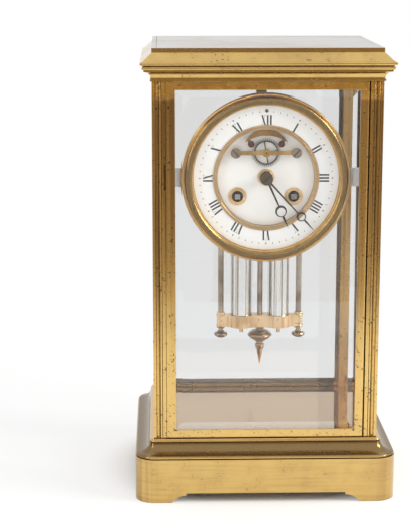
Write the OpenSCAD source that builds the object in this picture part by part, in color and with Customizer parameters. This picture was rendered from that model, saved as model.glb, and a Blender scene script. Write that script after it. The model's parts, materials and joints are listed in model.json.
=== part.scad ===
// Crystal regulator clock: a glazed brass case, a round striking movement with a visible
// escapement on the dial, and a two-jar mercury pendulum.
// Millimetres, +Z up, origin at the bottom centre of the plinth, the dial faces -Y.

/* [Case] */
// Width of the case across its pillars
case_w = 149; // [140:0.5:170]
// Depth of the case across its pillars
case_d = 127.4; // [122:0.2:140]
// Height of the pillars
pillar_h = 238; // [228:1:260]
// Side of a pillar's square section
pillar_s = 12.5; // [11.8:0.1:14]
// Width of a pillar that shows beside a door
pillar_face = 8.5; // [8:0.1:9.2]
// Width of the plain strip on a pillar's outer corner
corner_strip = 1.9; // [1.5:0.1:2.2]
// Radius of the hollow beside the corner strip
flute_r = 1.15; // [0.9:0.05:1.25]
// Radius of the bead beside the hollow
bead_r = 0.85; // [0.6:0.05:0.95]
// Depth of the bars above and below the side panes
side_rail_w = 7; // [6:0.1:8]

/* [Base] */
// Height of the plinth's upright face
plinth_h = 29.7; // [24:0.1:40]
// How far the plinth stands out past the case
plinth_reach = 12.4; // [11.6:0.1:16]
// Wall of the hollow plinth
plinth_wall = 5; // [4:0.1:8]
// Length of a foot on the ground
foot_w = 24; // [20:0.5:30]
// Height of the gap between the feet
foot_gap_h = 6.5; // [5.6:0.1:9]
// Height of the arch at the end of a foot
foot_arch_h = 5; // [3:0.1:5.4]
// Radius of the arch at the end of a foot
foot_arch_r = 12.5; // [8:0.1:16]
// Height of the moulding between plinth and case
moulding_h = 11.3; // [10.5:0.1:14]
// Radius of the moulding's round lip
lip_r = 1.15; // [0.8:0.05:1.3]
// Radius of the moulding's hollow
cove_r = 8.2; // [6.5:0.1:8.6]
// Radius of the bead under the case
foot_bead_r = 0.9; // [0.6:0.05:1]
// Thickness of the case floor
floor_t = 4.2; // [3.8:0.1:5]

/* [Cornice] */
// Height of the cornice
cornice_h = 21; // [20:0.1:26]
// How far the cornice's widest bead stands out past the case
cornice_reach = 7.4; // [7:0.1:9]
// Radius of the cornice's hollow
cornice_cove_r = 4.6; // [3.8:0.1:4.8]
// Radius of the cornice's two beads
cornice_bead_r = 1.2; // [0.9:0.05:1.3]
// How far the flat top lies inside the case's outline
top_inset = 2.2; // [1.5:0.1:4]
// Width of the brass rim round the top pane
top_rim = 1; // [0.8:0.1:2]

/* [Doors and glass] */
// Thickness of a door frame
door_t = 5.8; // [5.4:0.1:6.6]
// Width of a door's upright stile
stile_w = 6; // [5.6:0.1:7]
// Height of a door's cross rail
rail_w = 5.2; // [5:0.1:8]
// Gap round a door
door_gap = 0.3; // [0.25:0.05:0.5]
// Gap between a door and the pillars' stops
stop_gap = 0.6; // [0.5:0.05:1]
// Distance of the hinge axis from the stile's two faces
hinge_r = 1.7; // [1.6:0.05:1.9]
// Radius of a hinge pin
pin_r = 0.9; // [0.7:0.05:1]
// Length of a hinge pin on either side of the joint
pin_len = 4; // [3:0.1:4.5]
// Thickness of a pane
glass_t = 3; // [2.6:0.1:3.2]
// Thickness of a pane at its bevelled edge
glass_edge_t = 1.5; // [1:0.1:2]
// Width of a pane's bevel
bevel_w = 7; // [5:0.5:10]
// Depth of a front pane behind the door's face
glass_set = 2.2; // [2:0.1:2.4]
// How far a pane reaches under its frame
glass_lap = 2.2; // [1.8:0.1:2.4]
// Height of the nail nick beside the door
nick_h = 16.4; // [10:0.1:24]

/* [Dial] */
// Gap between the bezel's edge and the cornice
dial_gap = 9.2; // [6:0.1:14]
// Outer radius of the bezel
bezel_r = 55.2; // [54:0.1:58]
// Width of the bezel
bezel_w = 7.7; // [7.6:0.1:8.4]
// Gap between the bezel's crest and the front pane
bezel_gap = 1.1; // [0.9:0.1:1.3]
// Outer radius of the gilt ring round the sunk centre
sink_r = 34.8; // [34.5:0.1:36]
// Width of the gilt ring
sink_w = 2.9; // [2.4:0.1:3]
// Depth of the sunk centre below the chapter ring
sink_depth = 4; // [3.8:0.1:4.2]
// Thickness of the enamel
enamel_t = 1.2; // [1:0.1:1.4]
// Outer radius of a winding hole's grommet
grommet_r = 6; // [5.6:0.1:6.4]
// Radius of a winding hole
wind_hole_r = 3.75; // [3.5:0.05:4]
// Distance of the rating hole inside the dial's edge
rating_in = 3.4; // [2.5:0.1:3.9]

/* [Movement] */
// Radius of the movement's plates
plate_r = 41; // [40.5:0.1:42]
// Thickness of a plate
plate_t = 2.5; // [2:0.1:3]
// Distance between the plates
plate_gap = 32; // [31.5:0.1:34]
// Sideways distance of a barrel from the centre
barrel_x = 18.6; // [18.2:0.1:19]
// Distance of a barrel below the centre
barrel_drop = 12.6; // [12.2:0.1:13]
// Radius of a barrel's drum
drum_r = 15.4; // [13:0.1:15.8]
// Radius of a winding arbor
wind_arbor_r = 2.5; // [2.3:0.05:2.6]
// Side of a winding square
wind_square = 3.5; // [3:0.1:3.6]
// Radius of a wheel's arbor
arbor_r = 0.9; // [0.8:0.05:1]
// Radius of the arbors that carry the smallest pinions
fine_arbor_r = 0.65; // [0.6:0.05:0.7]
// Radius of a pivot
pivot_r = 0.5; // [0.4:0.05:0.6]
// Height of the escape wheel above the dial's centre
escape_h = 16.5; // [16:0.1:17]
// Height of the anchor's arbor above the dial's centre
anchor_h = 29.5; // [29:0.1:30]
// Radius of the escape wheel
escape_r = 9.7; // [9.2:0.05:9.8]
// Length of the bridge from the centre to its end screw
bridge_half = 19.9; // [19:0.1:21]
// Height of the bridge's bar
bridge_h = 2.7; // [2.2:0.1:3.2]
// Outer radius of the bell
bell_r = 27; // [24:0.1:28]
// Depth of the bell
bell_depth = 18; // [16:0.1:20]
// Wall of the bell
bell_wall = 1.2; // [1:0.1:1.6]
// Gap between the minute hand's tip and the bezel
minute_gap = 1.1; // [0.5:0.1:3.5]
// Length of the hour hand
hour_len = 35.6; // [32:0.1:37]
// Minutes past the hour at which the hands stand
shown_minutes = 22.88; // [0:0.01:60]
// Angle of the hour hand clockwise from XII, in degrees
shown_hour = 155.7; // [0:0.1:360]

/* [Pendulum] */
// Distance of the pendulum's plane behind the movement's back plate
pendulum_gap = 10.3; // [10.1:0.1:10.7]
// Height of the cradle's underside above the case floor
cradle_h = 59.8; // [54:0.1:62]
// Thickness of the cradle
cradle_t = 8.5; // [8:0.1:11]
// Sideways distance of a side rod from the middle
side_rod_x = 27.3; // [26:0.1:29]
// Radius of a side rod
side_rod_r = 1.95; // [1.6:0.05:2.2]
// Radius of the centre rod
centre_rod_r = 1.85; // [1.6:0.05:1.9]
// Sideways distance of a jar from the middle
jar_x = 13; // [12.2:0.1:14]
// Outer radius of a jar
jar_r = 7.5; // [7:0.05:8]
// Wall of a jar
jar_wall = 0.8; // [0.6:0.05:1]
// Height of a jar
jar_h = 59.5; // [56:0.5:63]
// Height of the mercury in a jar
mercury_h = 53.5; // [40:0.5:56]
// Radius of the finial's disc
finial_r = 8.2; // [7.5:0.1:9]
// Length of the finial's point
finial_len = 29; // [25:0.5:32]
// Radius of a knob under a side rod
knob_r = 4.65; // [4:0.05:5]

/* [Hidden] */
$fn = 96;

// Colours
brass = "#b08d45";
gilt = "#c9a24e";
steel = "#8f9296";
dull_steel = "#8d8378";
blued = "#23242b";
enamel = "#f2f1ec";
crystal = [0.85, 0.9, 0.9, 0.35];
quicksilver = "#c4c6ca";
garnet = "#6e1f1d";

// Clearances
fit = 0.05;
free = 0.3;
eps = 0.01;

// Levels of the case
edge_r = 1;
over = 1;
half_w = case_w / 2;
half_d = case_d / 2;
corner_x = half_w - edge_r;
corner_y = half_d - edge_r;
floor_z = plinth_h + moulding_h;
pillar_top = floor_z + pillar_h;
dial_h = pillar_h - bezel_r - dial_gap;
dial_r = bezel_r - bezel_w;
rating_h = dial_r - rating_in;
minute_len = dial_r - minute_gap;
top_z = pillar_top + cornice_h;
plinth_w = case_w + 2 * plinth_reach;
plinth_d = case_d + 2 * plinth_reach;
inner_x = half_w - pillar_s;
inner_y = half_d - pillar_s;
screw_r = 1.6;
screw_head_r = 3;
screw_head_t = 1.6;
screw_depth = 8;
screw_end = 1;
plinth_top_t = 2.5;
base_lip = 2;
base_in = pillar_s + base_lip;
screw_places = [
  for (x = [-1, 1], y = [-1, 1]) [x * (half_w - pillar_s / 2), y * (half_d - pillar_s / 2)]
];

// Doors: the frame's outline, the pane's place and the hinge axis
opening_x = half_w - pillar_face;
door_x = opening_x - door_gap;
door_z0 = floor_z + door_gap;
door_z1 = pillar_top - door_gap;
door_back_y = -half_d + door_t;
stop_y = door_back_y + stop_gap;
light_x = door_x - stile_w;
light_z0 = door_z0 + rail_w;
light_z1 = door_z1 - rail_w;
pane_x = light_x + glass_lap;
pane_z0 = light_z0 - glass_lap;
pane_z1 = light_z1 + glass_lap;
pane_fit = 0.2;
pane_front_y = -half_d + glass_set;
pane_back_y = pane_front_y + glass_t;
hinge_x = door_x - hinge_r;
hinge_y = -half_d + hinge_r;
catch_z = floor_z + dial_h;

// Side panes and bars
side_pane_in = 2;
side_pane_x = half_w - side_pane_in;
side_groove = 2.2;
side_pane_y = inner_y + side_groove - pane_fit;
rail_h = rail_w + door_gap;
side_rail_in = 1;
side_rail_x = half_w - side_rail_in;

// Top pane
top_plate_x = half_w - top_inset - top_rim;
top_plate_y = half_d - top_inset - top_rim;
top_ledge = 3;
top_plate_t = 3;
cornice_floor_t = 5;

// Depths of the dial and movement, from the front pane backwards
dial_z = floor_z + dial_h;
bezel_y = pane_back_y + bezel_gap;
bezel_crest = 3;
bezel_t = 5.9;
bezel_flange_t = 1.6;
chapter_y = bezel_y + bezel_t;
chapter_back_y = chapter_y + enamel_t;
dial_plate_t = 0.8;
sink_y = chapter_y + sink_depth;
sink_back_y = sink_y + enamel_t;
pan_back_y = sink_back_y + dial_plate_t;
work_depth = 4.2;
front_plate_y = pan_back_y + work_depth;
gap_y = front_plate_y + plate_t;
back_plate_y = gap_y + plate_gap;
rear_y = back_plate_y + plate_t;
drum_in = 1.6;
bezel_step = 3.2;
bezel_lip = 0.4;
bezel_bead_r = 0.9;
bezel_tube_r = bezel_r - bezel_step;
dial_lap = 1.7;
bezel_seat_r = dial_r + dial_lap;
chapter_r = bezel_seat_r - free / 2;
sink_in_r = sink_r - sink_w;
sink_wall = 1.3;
sink_tube_r = sink_in_r + sink_wall;
enamel_r = sink_in_r - 2 * fit;
pan_wall = 1;
ring_crest = 0.9;
grommet_bead = 0.4;
grommet_flange = 1;
centre_grommet_r = 5.5;
bracket_h = 12;
bracket_t = 2.5;
bracket_step = 1.3;
bracket_lap = 3;
bracket_y = chapter_back_y + bracket_step;
bracket_head_y = bracket_y + bracket_t;
bracket_screw_r = 1;
bracket_screw_len = 9;
bracket_screw_in = 2.6;
bracket_screws = [for (s = [-1, 1], t = [-1, 1]) [s * (inner_x + bracket_screw_in), t * bracket_h / 4]];
dial_foot_r = 1.6;
dial_foot_at = 38;
dial_foot_angles = [55, 125, 235, 305];

// Hands: each lies a step in front of the last
hand_clear = 1.9;
hand_step = 1.8;
hour_hand_y = chapter_y - hand_clear;
hand_t = 0.6;
minute_hand_y = hour_hand_y - hand_step;
minute_tip = 12.5;
minute_ring_r = 3.1;
hour_tip = 11.9;
hour_ring_r = 3.9;
nut_t = 1.4;
nut_r = 4;
nut_floor = 0.6;
nut_y = minute_hand_y - hand_t - nut_t;
minute_angle = shown_minutes * 6;

// Train: teeth, modules and places of the arbors in the dial's plane
great_teeth = 88;
great_mod = 0.38;
second_pinion = 8;
second_teeth = 80;
centre_pinion = 10;
second_mod = 0.38;
centre_teeth = 84;
third_pinion = 7;
third_teeth = 77;
escape_pinion = 7;
third_mod = 0.32;
escape_teeth = 40;
cannon_teeth = 12;
minute_teeth = 36;
minute_mod = 0.4;
minute_pinion = 10;
hour_teeth = 40;
strike_pinion = 8;
strike_teeth = 72;
strike_mod = 0.36;
pin_pinion = 8;
pin_teeth = 66;
fly_pinion = 8;
fly_mod = 0.32;
vane_w = 10;
vane_t = 0.5;
vane_in = 5;
vane_len = 16;

function gear_r(teeth, mod) = teeth * mod / 2;
function reach(teeth_a, teeth_b, mod) = gear_r(teeth_a + teeth_b, mod);
function polar(r, a) = [r * cos(a), r * sin(a)];
function grommet_tube(r) = r - grommet_flange;
function click_pivot(s) = [s * (barrel_x + click_at[0]), -barrel_drop + click_at[1]];
function heading(a, b) = atan2(b[1] - a[1], b[0] - a[0]);
// Place of an arbor that lies ra from a and rb from b, on the side that side names
function meet(a, b, ra, rb, side) =
  let (d = norm(b - a), along = (ra * ra - rb * rb + d * d) / (2 * d))
  let (off = side * sqrt(ra * ra - along * along), u = (b - a) / d)
  a + along * u + off * [-u[1], u[0]];

centre_at = [0, 0];
going_at = [barrel_x, -barrel_drop];
strike_at = [-barrel_x, -barrel_drop];
escape_at = [0, escape_h];
anchor_at = [0, anchor_h];
rating_at = [0, rating_h];
great_reach = reach(great_teeth, second_pinion, great_mod);
second_at = meet(
  centre_at, going_at, reach(second_teeth, centre_pinion, second_mod), great_reach, -1);
third_at = meet(
  centre_at, escape_at, reach(centre_teeth, third_pinion, third_mod),
  reach(third_teeth, escape_pinion, third_mod), -1);
minute_at = [0, -reach(minute_teeth, cannon_teeth, minute_mod)];
hour_mod = 2 * norm(minute_at) / (hour_teeth + minute_pinion);
strike_second_angle = 102.4;
pin_angle = 54.2;
fly_angle = 120.3;
strike_second_at = strike_at + polar(great_reach, strike_second_angle);
pin_at = strike_second_at + polar(reach(strike_teeth, pin_pinion, strike_mod), pin_angle);
fly_at = pin_at + polar(reach(pin_teeth, fly_pinion, fly_mod), fly_angle);
hammer_at = [-34, 18];
click_at = [11.5, -6];
pillar_at = [11, 36.3];
plate_pillar_places = [for (x = [-1, 1], z = [-1, 1]) [x * pillar_at[0], z * pillar_at[1]]];
dial_feet = [for (a = dial_foot_angles) polar(dial_foot_at, a)];

// Teeth
wheel_tip = 0.9;
wheel_root = 1.25;
wheel_tooth = 0.42;
leaf_tip = 0.6;
leaf_root = 1.35;
leaf_tooth = 0.36;
tip_share = 0.4;

// Depths of the wheels between the plates, from the front plate backwards
drum_clear = 1;
drum_h = 14.5;
drum_y0 = gap_y + drum_clear;
great_y0 = drum_y0 + drum_h;
great_t = 2;
drum_y1 = great_y0 + great_t;
second_step = 2.5;
centre_step = 4;
third_step = 3.7;
pin_step = 7.5;
second_y0 = drum_y1 + second_step;
wheel_t = 1.2;
centre_y0 = second_y0 + centre_step;
third_y0 = centre_y0 + third_step;
leaf_over = 0.6;
leaf_len = wheel_t + 2 * leaf_over;
great_leaf_len = great_t + 2 * leaf_over;
strike_y0 = second_y0;
pin_y0 = strike_y0 + pin_step;
rim_w = 1.4;
spoke_w = 1.5;
hub_r = 2.4;
collet_r = 2;
collet_t = 0.8;
ratchet_t = 1.4;
ratchet_y1 = front_plate_y - free;
ratchet_r = 7;
ratchet_teeth = 24;
ratchet_cut = 0.9;
ratchet_lean = 0.12;
wind_pivot_r = 1.4;
hole_fit = pivot_r + fit;
pivot_in = 0.4;
pivot_front_y = front_plate_y + pivot_in;
pivot_rear_y = rear_y - pivot_in;
shoulder_front_y = gap_y + free;
shoulder_rear_y = back_plate_y - free;

// Motion work in front of the front plate
minute_y1 = front_plate_y - free;
minute_t = 0.9;
cannon_r = 1.65;
hour_pipe_r = 2.6;
motion_step = 1.2;
hour_y1 = minute_y1 - minute_t - motion_step;
hour_t = 1;
stud_r = 0.8;
stud_over = 0.2;
centre_hole_r = hour_pipe_r + 0.6;

// Escapement in front of the sunk dial
escape_clear = 1.1;
bridge_clear = 1;
anchor_clear = 0.5;
escape_y1 = sink_y - escape_clear;
escape_t = 0.6;
escape_y0 = escape_y1 - escape_t;
bridge_y1 = escape_y0 - bridge_clear;
bridge_t = 1.2;
bridge_y0 = bridge_y1 - bridge_t;
bridge_ends = [for (s = [-1, 1]) [s * bridge_half, escape_h]];
anchor_t = 0.9;
anchor_y1 = escape_y0 - anchor_clear;
anchor_y0 = anchor_y1 - anchor_t;
anchor_hub_r = 1.9;
anchor_out_r = 16;
anchor_in_r = 24.2;
anchor_waist = 4;
anchor_crest = 2.3;
pallet_r = 1.05;
pallet_head_r = 2.2;
pallet_head_t = 0.8;
pallet_arm = [3.8, 2.2];
pallet_arm_angle = 60;
pallet_reach = 1.85;
pallet_at_r = escape_r + pallet_reach;
pallet_angle = 30.3;
pallet_points = [for (a = [pallet_angle, 180 - pallet_angle]) escape_at + polar(pallet_at_r, a)];

// Pendulum and suspension
pendulum_y = rear_y + pendulum_gap;
pendulum_z = dial_z + anchor_h;
cradle_z = floor_z + cradle_h;
jar_seat = 2.6;
cradle_wall = 1.1;
cradle_waist = 4.6;
cradle_end = 2.8;
hollow_r = 6;
jar_z = cradle_z + jar_seat;
jar_top = jar_z + jar_h;
jar_floor_t = 1;
head_t = 6;
head_w = 6;
rod_h = 19;
rod_top = dial_z + rod_h;
spring_t = 0.24;
spring_w = 5;
clamp_rise = 4.5;
clamp_z = pendulum_z + clamp_rise;
clamp_h = 6;
clamp_slot = 1.5;
fork_h = 4;
fork_z = dial_z + fork_h;
fork_t = 1.5;
prong_t = 1;
prong_x = centre_rod_r + 0.2;
crutch_clear = 1.6;
crutch_y0 = rear_y + crutch_clear;
crutch_t = 1.4;
tongue_clear = 1.8;
tongue_y0 = crutch_y0 + crutch_t + tongue_clear;
tongue_t = 1.8;
cock_w = 14;
cheek_t = 2.4;
cock_reach = 4;
cock_y0 = pendulum_y - cock_reach;
cock_y1 = pendulum_y + cock_reach;
cock_foot_t = 2.5;
cock_end = 1;
cock_screw_x = 2.4;
cock_screw_rise = 7.9;
cock_screws = [for (s = [-1, 1]) [s * cock_screw_x, anchor_h + cock_screw_rise]];

// Bell and hammer
bell_at = [0, 4];
bell_clear = 8;
bell_y0 = pendulum_y + bell_clear;
bell_y1 = bell_y0 + bell_depth;
bell_curve_r = 13.5;
stand_at = [31.5, 20];
stand_r = 1.8;
stand_arm_w = 5;
stand_arm_t = 2.8;
stand_foot_r = 3;
stand_foot_t = 2;
stand_eye_r = 4.5;
bell_nut_t = 2;
stud_bell_r = 1.5;
head_r = 2.5;
hammer_gap = 0.8;
strike_angle = 195;
head_at = bell_at + polar(bell_r + hammer_gap + head_r, strike_angle);
hammer_in = 1.5;
hammer_y = bell_y0 + hammer_in;
pin_circle = 8.6;
lift_pin_r = 0.45;
lift_pins = 10;
lift_pin_len = 1.6;

// Heads of the movement's screws: radius and thickness
bracket_head = [2.2, 1];
bridge_head = [3.4, 0.9];
cock_head = [2, 1];
plate_nut = [3, 1.5];

// Shapes

// Lays a flat shape in the dial's plane: its back at depth y, its face h nearer the viewer
module facing(y, h) {
  translate([0, y, 0])
    rotate([90, 0, 0])
      linear_extrude(height = h)
        children();
}

// A turned shape about an axis along Y; the profile's x is radius and its y is depth behind y = 0
module turned() {
  rotate([-90, 0, 0])
    rotate_extrude()
      children();
}

// A rod along Y from depth y0 to depth y1
module rod(y0, y1, r) {
  translate([0, y1, 0])
    rotate([90, 0, 0])
      cylinder(r = r, h = y1 - y0);
}

// Moves a shape to a place in the dial's plane
module on_dial(p) {
  translate([p[0], 0, dial_z + p[1]])
    children();
}

module rounded_rect(w, d, r) {
  square([w - 2 * r, d], center = true);
  square([w, d - 2 * r], center = true);
  for (x = [-1, 1], y = [-1, 1])
    translate([x * (w / 2 - r), y * (d / 2 - r)])
      circle(r = r);
}

// Runs a profile round the case's outline: x is the distance out from the corner's centre
module round_case() {
  for (s = [0, 1], t = [0, 1])
    mirror([s, 0, 0])
      mirror([0, t, 0])
        translate([corner_x, corner_y, 0])
          rotate_extrude(angle = 90)
            children();
  for (s = [0, 1]) {
    mirror([s, 0, 0])
      translate([corner_x, corner_y, 0])
        rotate([90, 0, 0])
          linear_extrude(height = 2 * corner_y)
            children();
    mirror([0, s, 0])
      translate([-corner_x, corner_y, 0])
        rotate([90, 0, 90])
          linear_extrude(height = 2 * corner_x)
            children();
  }
}

// A box given by its two corners
module span(a, b) {
  translate(a)
    cube(b - a);
}

// A pane in the XZ plane, bevelled on the face at y = 0, its back at y = t
module pane(w, h, t) {
  intersection() {
    translate([0, 0, -h / 2])
      linear_extrude(height = h)
        pane_section(w, t);
    rotate([0, 90, 0])
      translate([0, 0, -w / 2])
        linear_extrude(height = w)
          pane_section(h, t);
  }
}

module pane_section(w, t) {
  polygon([
    [-w / 2, t], [w / 2, t], [w / 2, t - glass_edge_t], [w / 2 - bevel_w, 0],
    [-w / 2 + bevel_w, 0], [-w / 2, t - glass_edge_t]
  ]);
}

// Outline of a toothed wheel; the first tooth points along phase
function tooth(r_root, r_pitch, r_tip, a, half) = [
  polar(r_root, a - half), polar(r_pitch, a - half), polar(r_tip, a - half * tip_share),
  polar(r_tip, a + half * tip_share), polar(r_pitch, a + half), polar(r_root, a + half)
];

function teeth_outline(teeth, mod, tip, root, width, phase) = [
  for (i = [0 : teeth - 1], p = tooth(
    gear_r(teeth, mod) - root * mod, gear_r(teeth, mod), gear_r(teeth, mod) + tip * mod,
    phase + i * 360 / teeth, width * 180 / teeth)) p
];

module wheel_outline(teeth, mod, phase) {
  polygon(teeth_outline(teeth, mod, wheel_tip, wheel_root, wheel_tooth, phase));
}

module leaf_outline(teeth, mod, phase) {
  polygon(teeth_outline(teeth, mod, leaf_tip, leaf_root, leaf_tooth, phase));
}

// A wheel crossed out into four arms
module crossed_wheel(teeth, mod, phase) {
  rim = gear_r(teeth, mod) - wheel_root * mod - rim_w;
  difference() {
    wheel_outline(teeth, mod, phase);
    difference() {
      circle(r = rim);
      circle(r = hub_r);
      for (a = [0, 90])
        rotate(a + phase)
          square([2 * rim + over, spoke_w], center = true);
    }
  }
}

// A pinion whose gap points along toward
module pinion(teeth, mod, toward) {
  leaf_outline(teeth, mod, toward + 180 / teeth);
}

// An arbor between the plates, with a pivot in each
module plate_arbor(r) {
  rod(shoulder_front_y, shoulder_rear_y, r);
  rod(pivot_front_y, pivot_rear_y, pivot_r);
}

// A screw along Z from its head's underside: head up, shank down
module screw(r, len, head_r, head_t) {
  slot_w = head_r / 4;
  slot_floor = head_t * 0.45;
  difference() {
    cylinder(r = head_r, h = head_t);
    translate([-head_r, -slot_w / 2, slot_floor])
      cube([2 * head_r, slot_w, head_t]);
  }
  translate([0, 0, -len])
    cylinder(r = r, h = len + eps);
}

// A screw of the movement, its head towards the viewer or, if rear, away
module screw_y(y, len, head, rear, turn) {
  translate([0, y, 0])
    rotate([rear ? -90 : 90, 0, 0])
      rotate(turn)
        screw(bracket_screw_r, len, head[0], head[1]);
}

// Base

module foot_gap(half) {
  flat = half - foot_w - sqrt(foot_arch_r * foot_arch_r - pow(foot_arch_r - foot_arch_h, 2));
  translate([-flat, -over])
    square([2 * flat, foot_gap_h + over]);
  for (s = [-1, 1])
    translate([s * flat, foot_arch_h - foot_arch_r])
      circle(r = foot_arch_r);
}

module base_plinth() {
  outer_r = plinth_reach + edge_r;
  inside_w = plinth_w - 2 * plinth_wall;
  color(brass)
    difference() {
      linear_extrude(height = plinth_h)
        rounded_rect(plinth_w, plinth_d, outer_r);
      translate([0, 0, -over])
        linear_extrude(height = plinth_h - plinth_top_t + over)
          rounded_rect(inside_w, plinth_d - 2 * plinth_wall, outer_r - plinth_wall);
      translate([0, plinth_d / 2 + over, 0])
        rotate([90, 0, 0])
          linear_extrude(height = plinth_d + 2 * over)
            foot_gap(plinth_w / 2);
      translate([-plinth_w / 2 - over, 0, 0])
        rotate([90, 0, 90])
          linear_extrude(height = plinth_w + 2 * over)
            foot_gap(plinth_d / 2);
      base_hollow(plinth_h - plinth_wall);
      screw_bores(plinth_h - plinth_wall, plinth_wall + over);
    }
}

// The open middle of the base, up to the case floor
module base_hollow(z) {
  span([-half_w + base_in, -half_d + base_in, z], [half_w - base_in, half_d - base_in, floor_z - floor_t]);
}

// Bores for the screws that hold the case together, one under each pillar
module screw_bores(z, h, r = screw_r) {
  for (p = screw_places)
    translate([p[0], p[1], z])
      cylinder(r = r, h = h);
}

module moulding_profile() {
  lip_in = 0.4;
  bead_drop = 0.6;
  cove_edge = 0.2;
  cove_step = 0.7;
  cove_out = plinth_reach + edge_r - lip_in - lip_r;
  lip_top = plinth_h + 2 * lip_r;
  bead_z = floor_z - bead_drop - foot_bead_r;
  bead_in = cove_out - cove_r - cove_step;
  translate([0, plinth_h])
    square([cove_out, 2 * lip_r]);
  translate([cove_out, plinth_h + lip_r])
    circle(r = lip_r);
  difference() {
    translate([0, plinth_h])
      square([cove_out - cove_edge, bead_z - foot_bead_r - plinth_h]);
    translate([cove_out, lip_top + cove_r + cove_edge / 2])
      circle(r = cove_r);
  }
  translate([0, plinth_h])
    square([bead_in, moulding_h]);
  translate([bead_in, bead_z])
    circle(r = foot_bead_r);
}

module base_moulding() {
  color(brass)
    difference() {
      union() {
        round_case()
          moulding_profile();
        span([-corner_x, -corner_y, plinth_h], [corner_x, corner_y, floor_z]);
      }
      base_hollow(plinth_h - over);
      screw_bores(plinth_h - over, moulding_h + 2 * over);
      hinge_bores(floor_z - pin_len);
    }
}

// Pillars and bars

// Section of a pillar, its outer corner at the origin, inwards along +x and +y
module pillar_section() {
  flute = corner_strip + flute_r;
  bead_gap = 0.1;
  bead = corner_strip + 2 * flute_r + 2 * bead_gap + bead_r;
  difference() {
    square(pillar_s);
    translate([pillar_face, -eps])
      square([pillar_s, stop_y + half_d + eps]);
    translate([side_pane_in, pillar_s - side_groove])
      square([glass_t + pane_fit, side_groove + eps]);
    for (m = [0, 1])
      mirror([m, -m]) {
        translate([flute, 0])
          circle(r = flute_r);
        translate([bead - bead_r - bead_gap, -eps])
          square([2 * (bead_r + bead_gap), bead_r + eps]);
      }
  }
  for (m = [0, 1])
    mirror([m, -m])
      translate([bead, bead_r])
        circle(r = bead_r);
}

// A pillar at the front left corner; right and rear turn it to the other corners
module pillar(right, rear) {
  difference() {
    mirror([right, 0, 0])
      mirror([0, rear, 0])
        translate([-half_w, -half_d, floor_z])
          linear_extrude(height = pillar_h)
            pillar_section();
    screw_bores(floor_z - over, screw_depth + over);
    screw_bores(pillar_top - screw_depth, screw_depth + over);
  }
}

module nail_nick() {
  nick_w = 1.1;
  nick_d = 3;
  nick_rise = 2.4;
  translate([-opening_x - nick_w, -half_d - eps, catch_z + nick_rise - nick_h / 2])
    cube([nick_w + eps, nick_d, nick_h]);
}

module front_pillars() {
  color(brass)
    for (right = [0, 1])
      difference() {
        pillar(right, 0);
        nail_nick();
        bracket_holes();
      }
}

module back_pillars() {
  color(brass)
    for (right = [0, 1])
      difference() {
        pillar(right, 1);
        rotate(180)
          nail_nick();
      }
}

module side_rails() {
  rail_in = side_rail_x - side_rail_w;
  groove_in = side_pane_x - glass_t - pane_fit;
  lower_z = floor_z + rail_h;
  upper_z = pillar_top - rail_h;
  color(brass)
    for (s = [0, 1])
      mirror([s, 0, 0])
        difference() {
          union() {
            span([rail_in, -inner_y, floor_z], [side_rail_x, inner_y, lower_z]);
            span([rail_in, -inner_y, upper_z], [side_rail_x, inner_y, pillar_top]);
          }
          span(
            [groove_in, -inner_y - over, lower_z - glass_lap],
            [side_pane_x, inner_y + over, upper_z + glass_lap]);
        }
}

// Cornice

module cornice_profile() {
  widest = cornice_reach - cornice_bead_r;
  upper = widest - cornice_bead_r;
  cove_in = upper - cornice_cove_r;
  fillet_h = 1.4;
  fillet_out = 0.6;
  cove_rise = 0.2;
  bead_rise = 1.2;
  bead_step = 0.4;
  edge_h = 0.8;
  back_w = 6;
  cove_z = fillet_h + cove_rise;
  bead_z = cove_z + cornice_cove_r + bead_rise + cornice_bead_r;
  widest_z = bead_z + 2 * cornice_bead_r + bead_step;
  slope_z = widest_z + cornice_bead_r;
  back = top_inset + top_rim + top_ledge + back_w;
  difference() {
    translate([-back, 0])
      square([back + upper, bead_z]);
    translate([upper, cove_z])
      circle(r = cornice_cove_r);
    translate([cove_in + fillet_out, -over])
      square([upper, cove_z + over]);
  }
  translate([-back, 0])
    square([back + cove_in + fillet_out, fillet_h]);
  translate([upper, bead_z])
    circle(r = cornice_bead_r);
  translate([-back, bead_z])
    square([back + upper + bead_step, widest_z - bead_z]);
  translate([widest, widest_z])
    circle(r = cornice_bead_r);
  polygon([
    [-back, widest_z], [widest, widest_z], [widest - bead_step, slope_z],
    [-top_inset, cornice_h - edge_h], [-top_inset, cornice_h], [-back, cornice_h]
  ]);
}

module cornice_bar(half, length) {
  rotate([90, 0, 0])
    translate([0, 0, -length])
      linear_extrude(height = 2 * length) {
        for (s = [0, 1])
          mirror([s, 0])
            translate([half, pillar_top])
              cornice_profile();
        translate([-half, pillar_top])
          square([2 * half, cornice_h]);
      }
}

module cornice() {
  well_x = top_plate_x - top_ledge;
  well_y = top_plate_y - top_ledge;
  color(brass)
    difference() {
      intersection() {
        cornice_bar(half_w, case_w);
        rotate(90)
          cornice_bar(half_d, case_w);
      }
      span([-well_x, -well_y, pillar_top + cornice_floor_t], [well_x, well_y, top_z + over]);
      span([-inner_x, -inner_y, pillar_top - over], [inner_x, inner_y, top_z + over]);
      span(
        [-top_plate_x - pane_fit, -top_plate_y - pane_fit, top_z - top_plate_t],
        [top_plate_x + pane_fit, top_plate_y + pane_fit, top_z + over]);
      screw_bores(pillar_top - over, cornice_floor_t + 2 * over);
      screw_bores(pillar_top + cornice_floor_t, cornice_h - cornice_floor_t - top_plate_t, screw_head_r + free);
      hinge_bores(pillar_top - pin_len);
    }
}

module top_plate() {
  color(brass)
    span([-top_plate_x, -top_plate_y, top_z - top_plate_t], [top_plate_x, top_plate_y, top_z]);
}

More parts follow.
